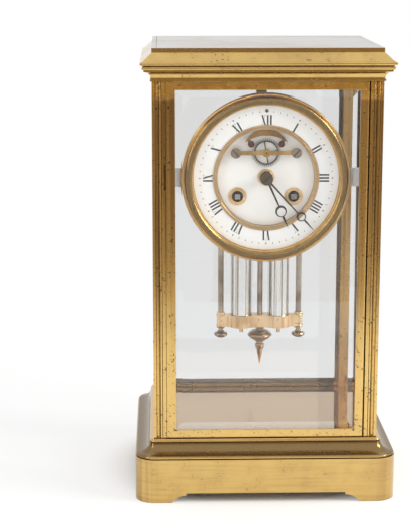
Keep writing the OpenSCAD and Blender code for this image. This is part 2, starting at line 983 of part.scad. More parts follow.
module side_glasses() {
  z0 = floor_z + rail_h - glass_lap + pane_fit;
  z1 = pillar_top - rail_h + glass_lap - pane_fit;
  color(crystal)
    for (s = [0, 1])
      mirror([s, 0, 0])
        translate([side_pane_x, 0, (z0 + z1) / 2])
          rotate([0, 0, 90])
            pane(2 * side_pane_y, z1 - z0, glass_t);
}

module case_screws() {
  lower_len = plinth_top_t + moulding_h + screw_depth - screw_end;
  upper_len = cornice_floor_t + screw_depth - screw_end;
  color(steel)
    for (p = screw_places) {
      translate([p[0], p[1], plinth_h - plinth_top_t])
        rotate([180, 0, 0])
          screw(screw_r, lower_len, screw_head_r, screw_head_t);
      translate([p[0], p[1], pillar_top + cornice_floor_t])
        screw(screw_r, upper_len, screw_head_r, screw_head_t);
    }
}

// Doors

module hinge_bores(z) {
  for (a = [0, 180])
    rotate(a)
      translate([hinge_x, hinge_y, z])
        cylinder(r = pin_r, h = 2 * pin_len);
}

module hinge_pins() {
  color(steel) {
    hinge_bores(floor_z - pin_len);
    hinge_bores(pillar_top - pin_len);
  }
}

module door_frame() {
  difference() {
    translate([0, 0, door_z0])
      linear_extrude(height = door_z1 - door_z0) {
        translate([-door_x, -half_d])
          square([2 * door_x - hinge_r, door_t]);
        translate([-door_x, hinge_y])
          square([2 * door_x, door_t - hinge_r]);
        translate([hinge_x, hinge_y])
          circle(r = hinge_r);
      }
    span([-light_x, -half_d - over, light_z0], [light_x, door_back_y + over, light_z1]);
    span(
      [-pane_x - pane_fit, pane_front_y, pane_z0 - pane_fit],
      [pane_x + pane_fit, door_back_y + over, pane_z1 + pane_fit]);
    for (z = [floor_z - pin_len, pillar_top - pin_len])
      translate([hinge_x, hinge_y, z])
        cylinder(r = pin_r + fit, h = 2 * pin_len + free);
  }
}

module door_pane() {
  translate([0, pane_front_y, (pane_z0 + pane_z1) / 2])
    pane(2 * pane_x, pane_z1 - pane_z0, glass_t);
}

// A sprung catch on the back of the free stile
module door_catch() {
  catch_w = 2.2;
  catch_h = 22;
  slit_w = 0.6;
  slit_h = 11;
  catch_clear = 0.25;
  catch_t = stop_gap - catch_clear;
  catch_x = -pane_x - 2 * pane_fit - catch_w / 2;
  translate([catch_x, door_back_y + catch_t, catch_z])
    facing(0, catch_t)
      difference() {
        square([catch_w, catch_h], center = true);
        square([slit_w, slit_h], center = true);
      }
}

module front_door_frame() {
  color(brass)
    door_frame();
}

module front_glass() {
  color(crystal)
    door_pane();
}

module front_catch() {
  color(gilt)
    door_catch();
}

module back_door_frame() {
  color(brass)
    rotate(180)
      door_frame();
}

module back_glass() {
  color(crystal)
    rotate(180)
      door_pane();
}

module back_catch() {
  color(gilt)
    rotate(180)
      door_catch();
}

// Dial

module dial_bezel() {
  mid = dial_r + bezel_lip + bezel_crest;
  rim = chapter_back_y - bezel_y;
  color(gilt)
    on_dial(centre_at)
      translate([0, bezel_y, 0])
        turned() {
          translate([mid, bezel_crest])
            circle(r = bezel_crest);
          translate([bezel_r - bezel_bead_r, bezel_t - bezel_flange_t])
            circle(r = bezel_bead_r);
          translate([dial_r, bezel_t - bezel_flange_t])
            square([bezel_r - dial_r, bezel_flange_t]);
          translate([mid - bezel_crest, bezel_crest])
            square([2 * bezel_crest, bezel_t - bezel_crest]);
          translate([bezel_seat_r, bezel_t - eps])
            square([bezel_r - bezel_seat_r, rim - bezel_t + eps]);
          translate([bezel_tube_r - drum_in, rim - eps])
            square([drum_in, front_plate_y - bezel_y - rim]);
        }
}

module dial_plate() {
  ring_y = chapter_back_y;
  pan_r = sink_tube_r + fit;
  color(brass)
    difference() {
      on_dial(centre_at) {
        translate([0, ring_y, 0])
          turned() {
            translate([pan_r, 0])
              square([bezel_tube_r - drum_in - pan_r, dial_plate_t]);
            translate([pan_r, dial_plate_t - eps])
              square([pan_wall, sink_back_y - ring_y - dial_plate_t + 2 * eps]);
            translate([0, sink_back_y - ring_y])
              square([pan_r + pan_wall, dial_plate_t]);
          }
        for (p = dial_feet)
          translate([p[0], 0, p[1]])
            rod(ring_y + dial_plate_t - eps, front_plate_y, dial_foot_r);
      }
      dial_holes(chapter_y, front_plate_y - over, centre_hole_r, wind_hole_r);
    }
}

// Holes through the dial: centre, winding, escape, anchor and rating
module dial_holes(y0, y1, centre_r, wind_r) {
  on_dial(centre_at)
    rod(y0, y1, centre_r);
  for (p = [going_at, strike_at])
    on_dial(p)
      rod(y0, y1, wind_r);
  on_dial(escape_at)
    rod(y0, y1, arbor_r + 3 * free);
  on_dial(anchor_at)
    rod(y0, y1, arbor_r + 2 * free);
  on_dial(rating_at)
    rod(chapter_y - over, chapter_back_y + dial_plate_t + over, arbor_r + free);
  for (p = bridge_ends)
    on_dial(p)
      rod(y0, y1, bracket_screw_r);
}

module chapter_ring() {
  color(enamel)
    difference() {
      on_dial(centre_at)
        facing(chapter_back_y, enamel_t)
          difference() {
            circle(r = chapter_r);
            circle(r = sink_tube_r + fit);
          }
      dial_holes(chapter_y - over, chapter_back_y + over, hour_pipe_r, wind_hole_r);
    }
}

module inner_ring() {
  bead_r = ring_crest / 2;
  color(gilt)
    on_dial(centre_at)
      translate([0, chapter_y, 0])
        turned() {
          translate([sink_in_r, -bead_r])
            square([sink_wall, sink_back_y - chapter_y + bead_r]);
          translate([sink_in_r, -bead_r])
            square([sink_w, bead_r]);
          translate([(sink_in_r + sink_r) / 2, -bead_r])
            circle(r = bead_r);
        }
}

module dial_centre() {
  centre_r = grommet_tube(centre_grommet_r) + fit;
  wind_r = grommet_tube(grommet_r) + fit;
  color(enamel)
    difference() {
      on_dial(centre_at)
        facing(sink_back_y, enamel_t)
          circle(r = enamel_r);
      dial_holes(sink_y - over, sink_back_y + over, centre_r, wind_r);
    }
}

module dial_grommets() {
  module grommet(r, hole) {
    translate([0, sink_y, 0])
      turned() {
        translate([hole, 0])
          square([grommet_tube(r) - hole, enamel_t]);
        translate([hole, -grommet_bead])
          square([r - hole, grommet_bead]);
        translate([(hole + r) / 2, -grommet_bead])
          circle(r = grommet_bead);
      }
  }
  color(gilt) {
    for (p = [going_at, strike_at])
      on_dial(p)
        grommet(grommet_r, wind_hole_r);
    on_dial(centre_at)
      grommet(centre_grommet_r, centre_hole_r);
  }
}

module movement_brackets() {
  pane_clear = 0.7;
  outer_x = side_pane_x - glass_t - pane_clear;
  z0 = dial_z - bracket_h / 2;
  z1 = dial_z + bracket_h / 2;
  color(brass)
    for (s = [0, 1])
      mirror([s, 0, 0])
        difference() {
          union() {
            span([bezel_tube_r - bracket_lap, bracket_y, z0], [outer_x, bracket_head_y, z1]);
            span([inner_x, -inner_y, z0], [outer_x, bracket_y + eps, z1]);
          }
          on_dial(centre_at)
            rod(bracket_y - over, bracket_head_y + over, bezel_tube_r);
          bracket_holes();
        }
}

module bracket_holes() {
  for (p = bracket_screws)
    on_dial(p)
      rod(bracket_head_y - bracket_screw_len, bracket_head_y + over, bracket_screw_r);
}

// Frame of the movement

module plate_disc(y) {
  on_dial(centre_at)
    facing(y + plate_t, plate_t)
      circle(r = plate_r);
}

// A hole through the plate whose face is at depth y
module plate_hole(p, y, r) {
  on_dial(p)
    rod(y - over, y + plate_t + over, r);
}

// Holes that both plates share: the trains' pivots and the pillars
module shared_holes(y) {
  for (p = [second_at, third_at, strike_second_at, pin_at, fly_at])
    plate_hole(p, y, hole_fit);
  for (p = plate_pillar_places)
    plate_hole(p, y, screw_r);
}

module front_plate() {
  y = front_plate_y;
  color(brass) {
    difference() {
      plate_disc(y);
      shared_holes(y);
      for (p = [going_at, strike_at])
        plate_hole(p, y, wind_arbor_r + fit);
      for (p = [centre_at, anchor_at])
        plate_hole(p, y, arbor_r + fit);
      plate_hole(escape_at, y, fine_arbor_r + fit);
      plate_hole(hammer_at, y, hole_fit);
    }
    on_dial(minute_at)
      rod(hour_y1 - hour_t - stud_over, y + eps, stud_r);
    for (s = [-1, 1])
      on_dial(click_pivot(s))
        rod(ratchet_y1 - ratchet_t - stud_over, y + eps, stud_r);
  }
}

module back_plate() {
  y = back_plate_y;
  color(brass)
    difference() {
      plate_disc(y);
      shared_holes(y);
      for (p = [going_at, strike_at])
        plate_hole(p, y, wind_pivot_r + fit);
      for (p = [centre_at, escape_at])
        plate_hole(p, y, hole_fit);
      plate_hole(anchor_at, y, arbor_r + 2 * free);
      plate_hole(hammer_at, y, arbor_r + fit);
      for (p = concat(cock_screws, [stand_at]))
        plate_hole(p, y, bracket_screw_r);
    }
}

module plate_pillars() {
  shaft_r = 2.6;
  band_r = 3.2;
  band_w = 6.4;
  thread_over = 1.2;
  middle_y = gap_y + plate_gap / 2;
  color(brass)
    for (p = plate_pillar_places)
      on_dial(p) {
        rod(gap_y, back_plate_y, shaft_r);
        rod(middle_y - band_w / 2, middle_y + band_w / 2, band_r);
        rod(front_plate_y, rear_y + thread_over, screw_r);
      }
}

module movement_screws() {
  bridge_screw_len = sink_y - bridge_y1 + enamel_t + dial_plate_t;
  cock_screw_len = cock_foot_t + plate_t - stud_over;
  slot_turn = 50;
  color(steel) {
    for (p = bracket_screws)
      on_dial(p)
        screw_y(bracket_head_y, bracket_screw_len - screw_end, bracket_head, true, slot_turn * p[1]);
    for (p = bridge_ends)
      on_dial(p)
        screw_y(bridge_y0, bridge_screw_len, bridge_head, false, sign(p[0]) * slot_turn);
    for (p = cock_screws)
      on_dial(p)
        screw_y(rear_y + cock_foot_t, cock_screw_len, cock_head, true, slot_turn * p[0]);
    for (p = plate_pillar_places)
      on_dial(p)
        difference() {
          rod(rear_y, rear_y + plate_nut[1], plate_nut[0]);
          rod(rear_y - over, rear_y + 2 * plate_nut[1], screw_r);
        }
  }
}

module escapement_bridge() {
  boss_r = 2.8;
  boss_rise = 0.5;
  end_r = 3.2;
  post_r = 2.4;
  color(gilt)
    difference() {
      union() {
        on_dial(escape_at)
          facing(bridge_y1, bridge_t) {
            square([2 * bridge_half, bridge_h], center = true);
            circle(r = boss_r);
            for (s = [-1, 1])
              translate([s * bridge_half, 0])
                circle(r = end_r);
          }
        for (p = bridge_ends)
          on_dial(p)
            rod(bridge_y1 - eps, sink_y, post_r);
        on_dial(escape_at)
          rod(bridge_y0 - boss_rise, bridge_y0 + eps, boss_r - boss_rise);
      }
      on_dial(escape_at)
        rod(bridge_y0 - over, bridge_y1 + over, hole_fit);
      for (p = bridge_ends)
        on_dial(p)
          rod(bridge_y0 - over, sink_y + over, bracket_screw_r);
    }
}

module suspension_cock() {
  foot_top = 40;
  arm_z0 = clamp_z - dial_z;
  arm_over = 3;
  tongue_drop = 3;
  slot_y = spring_w / 2 + 2 * free;
  color(brass)
    difference() {
      on_dial(centre_at) {
        span([-cock_w / 2, rear_y, arm_z0], [cock_w / 2, rear_y + cock_foot_t, foot_top]);
        for (s = [0, 1])
          mirror([s, 0, 0])
            span([cock_w / 2 - cheek_t, rear_y, arm_z0], [cock_w / 2, cock_y1, foot_top]);
        span([-cock_w / 2, cock_y0, arm_z0], [cock_w / 2, cock_y1, arm_z0 + clamp_h]);
        span([-cock_w / 4, cock_y0, arm_z0], [cock_w / 4, cock_y1, rating_h + arm_over]);
        span(
          [-cock_w / 2, tongue_y0, anchor_h - tongue_drop],
          [cock_w / 2, tongue_y0 + tongue_t, arm_z0 + over]);
      }
      translate([-clamp_slot / 2, pendulum_y - slot_y, clamp_z - over])
        cube([clamp_slot, 2 * slot_y, clamp_h]);
      on_dial(anchor_at)
        rod(tongue_y0 - over, tongue_y0 + tongue_t + over, hole_fit);
      on_dial(rating_at)
        rod(cock_y0 - over, cock_y1 - cock_end, arbor_r + fit);
      for (p = cock_screws)
        on_dial(p)
          rod(rear_y - over, rear_y + cock_foot_t + over, bracket_screw_r);
    }
}

// Bell and its stand

module bell() {
  curve = bell_curve_r;
  color(gilt)
    on_dial(bell_at)
      translate([0, bell_y0, 0])
        turned()
          difference() {
            union() {
              square([bell_r, bell_depth - curve]);
              square([bell_r - curve, bell_depth]);
              translate([bell_r - curve, bell_depth - curve])
                circle(r = curve);
            }
            translate([-over, -over])
              square([bell_r - bell_wall + over, bell_depth - curve + over]);
            translate([-over, -over])
              square([bell_r - curve + over, bell_depth - bell_wall + over]);
            translate([bell_r - curve, bell_depth - curve])
              circle(r = curve - bell_wall);
            translate([0, -curve])
              square([bell_r + over, curve]);
            square([stud_bell_r, 2 * bell_depth]);
          }
}

module bell_stand() {
  arm_y = bell_y1;
  nut_y0 = bell_y1 - bell_wall - bell_nut_t;
  span_len = norm(stand_at - bell_at);
  color(steel) {
    on_dial(stand_at) {
      rod(rear_y, arm_y + stand_arm_t, stand_r);
      rod(rear_y, rear_y + stand_foot_t, stand_foot_r);
      rod(back_plate_y + stud_over, rear_y + eps, bracket_screw_r);
    }
    on_dial(bell_at) {
      facing(arm_y + stand_arm_t, stand_arm_t) {
        rotate(heading(bell_at, stand_at))
          translate([0, -stand_arm_w / 2])
            square([span_len, stand_arm_w]);
        circle(r = stand_eye_r);
      }
      rod(nut_y0 - over, arm_y + eps, stud_bell_r);
      rod(nut_y0, nut_y0 + bell_nut_t, stand_foot_r);
    }
  }
}

// Going train

module barrel_on(p, next) {
  lid_in = 0.6;
  lid_rim = 1.6;
  lid_hub = 2.2;
  on_dial(p)
    difference() {
      union() {
        rod(drum_y0, drum_y1, drum_r);
        facing(drum_y1, great_t)
          wheel_outline(great_teeth, great_mod, heading(p, next));
      }
      rod(drum_y0 - over, drum_y1 + over, wind_arbor_r + fit);
      difference() {
        rod(drum_y0 - over, drum_y0 + lid_in, drum_r - lid_rim);
        rod(drum_y0 - 2 * over, drum_y0 + over, wind_arbor_r + lid_hub);
      }
    }
}

module wind_arbor_on(p) {
  square_in = 2;
  shaft_over = 1;
  shaft_r = wind_arbor_r - 0.5;
  ratchet_y0 = ratchet_y1 - ratchet_t;
  on_dial(p) {
    rod(ratchet_y0, drum_y1 + shaft_over, wind_arbor_r);
    rod(drum_y1, shoulder_rear_y, shaft_r);
    rod(shoulder_rear_y - eps, pivot_rear_y, wind_pivot_r);
    facing(ratchet_y0 + eps, ratchet_y0 - chapter_y - square_in)
      square(wind_square, center = true);
    facing(ratchet_y1, ratchet_t)
      ratchet_outline(p[0] > 0 ? 1 : -1);
  }
}

module ratchet_outline(way) {
  step = 360 / ratchet_teeth;
  polygon([
    for (i = [0 : ratchet_teeth - 1], k = [0, 1])
      polar(ratchet_r - (1 - k) * ratchet_cut, way * (i + k * ratchet_lean) * step)
  ]);
}

// A click: its nose stands just clear of the ratchet
module click_on(s) {
  eye_r = 2;
  root_w = 3.2;
  nose_w = 1;
  tail_len = 3.4;
  tail_turn = 150;
  nose_angle = -2;
  from = click_pivot(s);
  nose_at = polar(ratchet_r + free + nose_w, nose_angle);
  to = [s * (barrel_x + nose_at[0]), -barrel_drop + nose_at[1]];
  reach_len = norm(to - from);
  on_dial(from)
    facing(ratchet_y1, ratchet_t)
      difference() {
        union() {
          circle(r = eye_r);
          rotate(heading(from, to))
            polygon([
              [0, -root_w / 2], [reach_len, -nose_w / 2],
              [reach_len, nose_w / 2], [0, root_w / 2]
            ]);
          rotate(heading(from, to) + tail_turn * s)
            translate([0, -nose_w / 2])
              square([tail_len, nose_w]);
        }
        circle(r = stud_r + fit);
      }
}

module going_barrel() {
  color(brass)
    barrel_on(going_at, second_at);
}

module going_arbor() {
  color(steel)
    wind_arbor_on(going_at);
}

module going_click() {
  color(steel)
    click_on(1);
}

module strike_barrel() {
  color(brass)
    barrel_on(strike_at, strike_second_at);
}

module strike_arbor() {
  color(steel)
    wind_arbor_on(strike_at);
}

module strike_click() {
  color(steel)
    click_on(-1);
}

// A wheel with its pinion on one arbor between the plates
module train_arbor(p, r, leaves, leaf_mod, leaf_y, leaf_w, from, teeth, mod, y, to) {
  on_dial(p) {
    plate_arbor(r);
    facing(leaf_y + leaf_w - leaf_over, leaf_w)
      pinion(leaves, leaf_mod, heading(p, from));
    train_wheel(teeth, mod, y, heading(p, to));
  }
}

// A crossed wheel on its collet
module train_wheel(teeth, mod, y, toward) {
  facing(y + wheel_t, wheel_t)
    crossed_wheel(teeth, mod, toward);
  rod(y - collet_t, y + wheel_t + collet_t, collet_r);
}

module second_wheel() {
  color(brass)
    train_arbor(
      second_at, arbor_r, second_pinion, great_mod, great_y0, great_leaf_len, going_at,
      second_teeth, second_mod, second_y0, centre_at);
}

module third_wheel() {
  color(brass)
    train_arbor(
      third_at, fine_arbor_r, third_pinion, third_mod, centre_y0, leaf_len, centre_at,
      third_teeth, third_mod, third_y0, escape_at);
}

module centre_wheel() {
  color(brass)
    on_dial(centre_at) {
      rod(nut_y + nut_floor, shoulder_rear_y, arbor_r);
      rod(shoulder_rear_y - eps, pivot_rear_y, pivot_r);
      facing(second_y0 + wheel_t + leaf_over, leaf_len)
        pinion(centre_pinion, second_mod, heading(centre_at, second_at));
      train_wheel(centre_teeth, third_mod, centre_y0, heading(centre_at, third_at));
    }
}

// The escape wheel: slender leaning teeth on a thin rim with four arms
module escape_wheel() {
  tooth_len = 1.7;
  ring_w = 0.9;
  eye_r = 2;
  arm_w = 0.8;
  lean = 3.4;
  tip = 0.8;
  root_share = 0.4;
  turn = 10;
  rim_r = escape_r - tooth_len;
  step = 360 / escape_teeth;
  color(brass)
    on_dial(escape_at) {
      facing(escape_y1, escape_t)
        difference() {
          polygon([
            for (i = [0 : escape_teeth - 1], p = [
              polar(rim_r, i * step), polar(escape_r, i * step + lean),
              polar(escape_r, i * step + lean + tip), polar(rim_r, (i + root_share) * step)
            ]) p
          ]);
          difference() {
            circle(r = rim_r - ring_w);
            circle(r = eye_r);
            for (a = [0, 90])
              rotate(a + turn)
                square([2 * rim_r, arm_w], center = true);
          }
        }
      rod(escape_y0 - anchor_clear, shoulder_rear_y, fine_arbor_r);
      rod(bridge_y0 + stud_over, pivot_rear_y, pivot_r);
      facing(third_y0 + wheel_t + leaf_over, leaf_len)
        pinion(escape_pinion, third_mod, heading(escape_at, third_at));
    }
}

// The anchor on its long arbor, with the crutch that leads the pendulum
module anchor() {
  arm_w = 2;
  eye_r = 2.2;
  prong_len = 3;
  prong_rise = 1;
  drop = fork_z - pendulum_z;
  color(brass) {
    on_dial(anchor_at) {
      rod(anchor_y0 - 2 * free, tongue_y0 - stud_over, arbor_r);
      rod(tongue_y0 - free, tongue_y0 + tongue_t - stud_over, pivot_r);
      rod(anchor_y0 - free, anchor_y1 + anchor_t, anchor_hub_r);
      facing(anchor_y1, anchor_t)
        anchor_outline();
      facing(crutch_y0 + crutch_t, crutch_t) {
        circle(r = eye_r);
        translate([-arm_w / 2, drop])
          square([arm_w, -drop]);
        translate([-prong_x - prong_t, drop])
          square([2 * (prong_x + prong_t), fork_t + prong_rise]);
      }
    }
    for (s = [0, 1])
      mirror([s, 0, 0])
        span([prong_x, crutch_y0, fork_z], [prong_x + prong_t, pendulum_y + prong_len, fork_z + fork_t]);
  }
}

// A crescent from one pallet over the arbor to the other
module anchor_outline() {
  difference() {
    union() {
      difference() {
        translate([0, anchor_crest - anchor_out_r])
          circle(r = anchor_out_r);
        translate([0, anchor_crest - anchor_waist - anchor_in_r])
          circle(r = anchor_in_r);
      }
      for (s = [0, 1])
        translate(pallet_points[s] - anchor_at) {
          circle(r = anchor_hub_r);
          rotate(s == 0 ? pallet_arm_angle : 180 - pallet_arm_angle)
            translate([0, -pallet_arm[1] / 2])
              square(pallet_arm);
        }
    }
    for (p = pallet_points)
      translate(p - anchor_at)
        circle(r = pallet_r + fit);
  }
}

module pallets() {
  color(garnet)
    for (p = pallet_points)
      on_dial(p) {
        rod(anchor_y0 - fit - pallet_head_t, anchor_y0 - fit, pallet_head_r);
        rod(anchor_y0 - fit - eps, escape_y1 + 2 * free, pallet_r);
      }
}

// Motion work and hands

module cannon_pinion() {
  color(brass)
    on_dial(centre_at)
      difference() {
        union() {
          rod(minute_hand_y, minute_y1, cannon_r);
          facing(minute_y1, minute_t + stud_over)
            pinion(cannon_teeth, minute_mod, heading(centre_at, minute_at));
        }
        rod(minute_hand_y - over, minute_y1 + over, arbor_r);
      }
}

module minute_wheel() {
  color(brass)
    on_dial(minute_at)
      difference() {
        union() {
          facing(minute_y1, minute_t)
            wheel_outline(minute_teeth, minute_mod, heading(minute_at, centre_at));
          facing(minute_y1, minute_y1 - hour_y1 + hour_t)
            pinion(minute_pinion, hour_mod, heading(minute_at, centre_at));
        }
        rod(hour_y1 - hour_t - over, minute_y1 + over, stud_r + fit);
      }
}

module hour_wheel() {
  color(brass)
    on_dial(centre_at)
      difference() {
        union() {
          facing(hour_y1, hour_t)
            wheel_outline(hour_teeth, hour_mod, heading(centre_at, minute_at));
          rod(hour_hand_y, hour_y1, hour_pipe_r);
        }
        rod(hour_hand_y - over, hour_y1 + over, cannon_r + fit);
      }
}

// A hand that points up, with an offset hole in the ring near its tip
module ring_hand(len, ring_at, ring_r, hole_r, off, eye_r, root_w, tip_w) {
  neck = ring_at - ring_r + free;
  past = ring_at + ring_r - free;
  neck_w = root_w * 0.6;
  swell_w = tip_w * 1.1;
  swell = past + 1.6;
  point_w = 0.2;
  difference() {
    union() {
      circle(r = eye_r);
      polygon([[-root_w / 2, 0], [root_w / 2, 0], [neck_w / 2, neck], [-neck_w / 2, neck]]);
      translate([0, ring_at])
        circle(r = ring_r);
      polygon([
        [-tip_w / 2, past], [tip_w / 2, past], [swell_w / 2, swell],
        [point_w / 2, len], [-point_w / 2, len], [-swell_w / 2, swell]
      ]);
    }
    translate([0, ring_at + off])
      circle(r = hole_r);
  }
}

module minute_hand() {
  color(blued)
    on_dial(centre_at)
      facing(minute_hand_y, hand_t)
        difference() {
          rotate(-minute_angle)
            ring_hand(
              len = minute_len, ring_at = minute_len - minute_tip, ring_r = minute_ring_r, hole_r = 2.2,
              off = 0.4, eye_r = 3, root_w = 1.3, tip_w = 1.1);
          circle(r = arbor_r);
        }
}

module hour_hand() {
  color(blued)
    on_dial(centre_at)
      facing(hour_hand_y, hand_t)
        difference() {
          rotate(-shown_hour)
            ring_hand(
              len = hour_len, ring_at = hour_len - hour_tip, ring_r = hour_ring_r, hole_r = 2.9,
              off = 0.5, eye_r = 4.2, root_w = 1.6, tip_w = 1.4);
          circle(r = cannon_r + fit);
        }
}

module hand_nut() {
  slot_w = 0.9;
  slot_depth = 0.4;
  color(blued)
    on_dial(centre_at)
      difference() {
        rod(nut_y, nut_y + nut_t, nut_r);
        rod(nut_y + nut_floor - eps, minute_hand_y, arbor_r);
        rotate([0, minute_angle, 0])
          span([-nut_r, nut_y - over, -slot_w / 2], [nut_r, nut_y + slot_depth, slot_w / 2]);
      }
}

// Strike train

module strike_second_wheel() {
  color(brass)
    train_arbor(
      strike_second_at, arbor_r, strike_pinion, great_mod, great_y0, great_leaf_len, strike_at,
      strike_teeth, strike_mod, strike_y0, pin_at);
}

module strike_pin_wheel() {
  color(brass) {
    train_arbor(
      pin_at, arbor_r, pin_pinion, strike_mod, strike_y0, leaf_len, strike_second_at,
      pin_teeth, fly_mod, pin_y0, fly_at);
    on_dial(pin_at)
      for (i = [0 : lift_pins - 1])
        rotate([0, i * 360 / lift_pins, 0])
          translate([pin_circle, 0, 0])
            rod(pin_y0 + wheel_t / 2, pin_y0 + wheel_t + lift_pin_len, lift_pin_r);
  }
}

module strike_fly() {
  color(brass)
    on_dial(fly_at) {
      plate_arbor(fine_arbor_r);
      facing(pin_y0 + wheel_t + leaf_over, leaf_len)
        pinion(fly_pinion, fly_mod, heading(fly_at, pin_at));
      facing(gap_y + vane_in + vane_len, vane_len)
        square([vane_w, vane_t], center = true);
    }
}

module hammer() {
  tail_w = 1.4;
  tail_t = 1.2;
  arm_w = 1.6;
  hub = 1.8;
  eye_r = 2.2;
  arm_end = 2;
  head_front = 1.5;
  head_rear = 3.5;
  tail_len = norm(pin_at - hammer_at) - pin_circle - lift_pin_r - 2 * free;
  arm = head_at - hammer_at;
  tail_y0 = pin_y0 + wheel_t + stud_over;
  color(steel)
    on_dial(hammer_at) {
      rod(shoulder_front_y, hammer_y + arm_end, arbor_r);
      rod(pivot_front_y, shoulder_front_y + eps, pivot_r);
      rod(tail_y0 - 2 * free, tail_y0 + tail_t + 2 * free, hub);
      facing(tail_y0 + tail_t, tail_t)
        rotate(heading(hammer_at, pin_at))
          translate([0, -tail_w / 2])
            square([tail_len, tail_w]);
      facing(hammer_y + arm_end, arm_w) {
        circle(r = eye_r);
        rotate(heading(hammer_at, head_at))
          translate([0, -arm_w / 2])
            square([norm(arm), arm_w]);
      }
      translate([arm[0], 0, arm[1]])
        rod(hammer_y - head_front, hammer_y + head_rear, head_r);
    }
}

// Suspension and pendulum

module rating_arbor() {
  square_w = 1.2;
  color(steel)
    on_dial(rating_at) {
      rod(chapter_back_y, cock_y1 - cock_end - stud_over, arbor_r);
      facing(chapter_back_y + eps, enamel_t - stud_over)
        square(square_w, center = true);
    }
}

module suspension_spring() {
  block = [3, 6, 4];
  top_gap = 1.6;
  color(steel) {
    translate([-spring_t / 2, pendulum_y - spring_w / 2, rod_top])
      cube([spring_t, spring_w, clamp_z + clamp_h - top_gap - rod_top]);
    translate([-block[0] / 2, pendulum_y - block[1] / 2, rod_top])
      cube(block);
  }
}

module pendulum_frame() {
  jar_clear = 1;
  lobe_over = 0.6;
  head_z = jar_top + jar_clear;
  color(dull_steel) {
    translate([0, pendulum_y, cradle_z])
      cylinder(r = centre_rod_r, h = rod_top - cradle_z);
    for (s = [-1, 1])
      translate([s * side_rod_x, pendulum_y, cradle_z])
        cylinder(r = side_rod_r, h = head_z + eps - cradle_z);
    translate([0, pendulum_y, head_z])
      linear_extrude(height = head_t) {
        square([2 * side_rod_x, head_w], center = true);
        for (s = [-1, 1]) {
          translate([s * side_rod_x, 0])
            circle(r = head_w / 2);
          translate([s * jar_x, 0])
            circle(r = jar_r + lobe_over);
        }
      }
  }
}

module pendulum_cradle() {
  collar_wall = 0.8;
  collar_h = 1.2;
  nib_r = 1.3;
  nib_h = 4.4;
  bite = 0.3;
  lobe_r = jar_r + cradle_wall;
  near_r = lobe_r - bite;
  waist_r = (pow(jar_x, 2) + pow(cradle_waist, 2) - pow(near_r, 2)) / (2 * (near_r - cradle_waist));
  waist_y = cradle_waist + waist_r;
  end_y = cradle_end + hollow_r - bite / 2;
  end_x = jar_x + sqrt(pow(near_r + hollow_r, 2) - pow(end_y, 2));
  meet_r = lobe_r - bite / 2;
  meet_in = [jar_x, 0] + [-jar_x, waist_y] * meet_r / (near_r + waist_r);
  meet_out = [jar_x, 0] + [end_x - jar_x, end_y] * meet_r / (near_r + hollow_r);
  color(gilt)
    difference() {
      union() {
        translate([0, pendulum_y, cradle_z])
          linear_extrude(height = cradle_t) {
            square([2 * side_rod_x, 2 * cradle_end], center = true);
            for (x = [-1, 1]) {
              translate([x * side_rod_x, 0])
                circle(r = cradle_end);
              translate([x * jar_x, 0])
                circle(r = lobe_r);
            }
            difference() {
              square(2 * meet_in, center = true);
              for (y = [-1, 1])
                translate([0, y * waist_y])
                  circle(r = waist_r);
            }
            for (x = [0, 1], y = [0, 1])
              mirror([x, 0])
                mirror([0, y])
                  difference() {
                    polygon([[jar_x, 0], meet_out, [end_x, end_y - hollow_r], [end_x, 0]]);
                    translate([end_x, end_y])
                      circle(r = hollow_r);
                  }
          }
        for (s = [-1, 1]) {
          translate([s * side_rod_x, pendulum_y, cradle_z + cradle_t - eps])
            cylinder(r = side_rod_r + collar_wall, h = collar_h);
          translate([s * jar_x, pendulum_y, cradle_z - nib_h])
            cylinder(r = nib_r, h = nib_h + eps);
        }
      }
      for (s = [-1, 1]) {
        translate([s * jar_x, pendulum_y, jar_z])
          cylinder(r = jar_r, h = cradle_t);
        translate([s * side_rod_x, pendulum_y, cradle_z - over])
          cylinder(r = side_rod_r, h = cradle_t + collar_h + 2 * over);
      }
      translate([0, pendulum_y, cradle_z - over])
        cylinder(r = centre_rod_r, h = cradle_t + 2 * over);
    }
}

module mercury_jars() {
  color(crystal)
    for (s = [-1, 1])
      translate([s * jar_x, pendulum_y, jar_z])
        difference() {
          cylinder(r = jar_r, h = jar_h);
          translate([0, 0, jar_floor_t])
            cylinder(r = jar_r - jar_wall, h = jar_h);
        }
}

module mercury() {
  color(quicksilver)
    for (s = [-1, 1])
      translate([s * jar_x, pendulum_y, jar_z + jar_floor_t])
        cylinder(r = jar_r - jar_wall, h = mercury_h);
}

// A turned finial below the cradle and a button under each side rod; profiles are radius and drop
module pendulum_knobs() {
  neck_r = 2.6;
  bead = 3.35;
  disc = 6.2;
  bulb = 3.4;
  stem = [1.5, 4.6];
  module drop_turned(points) {
    rotate_extrude()
      polygon([for (p = points) [p[0], -p[1]]]);
  }
  color(gilt) {
    translate([0, pendulum_y, cradle_z])
      drop_turned([
        [0, 0], [neck_r, 0], [neck_r, disc - 3.2],
        for (a = [60 : -12 : -48]) [finial_r * cos(a), disc - bulb * sin(a)],
        [finial_r * 0.62, disc + bulb * 0.8], [finial_r * 0.56, disc + bulb], [neck_r * 1.3, disc + 4.1],
        [neck_r * 0.88, disc + 5], [neck_r * 0.88, disc + 6],
        for (a = [60 : -30 : -60]) [bead * cos(a) * 0.25 + bead * 0.75, disc + 7.2 - sin(a)],
        [neck_r, disc + 8.6], [neck_r, disc + 9.4], [neck_r * 0.8, disc + 11], [0, finial_len]
      ]);
    for (s = [-1, 1])
      translate([s * side_rod_x, pendulum_y, cradle_z])
        drop_turned([
          [0, 0], [stem[0], 0], [stem[0], stem[1] - 0.8], [knob_r * 0.9, stem[1]],
          [knob_r, stem[1] + 0.8], [knob_r * 0.95, stem[1] + 1.8], [knob_r * 0.6, stem[1] + 3],
          [0, stem[1] + 3.3]
        ]);
  }
}

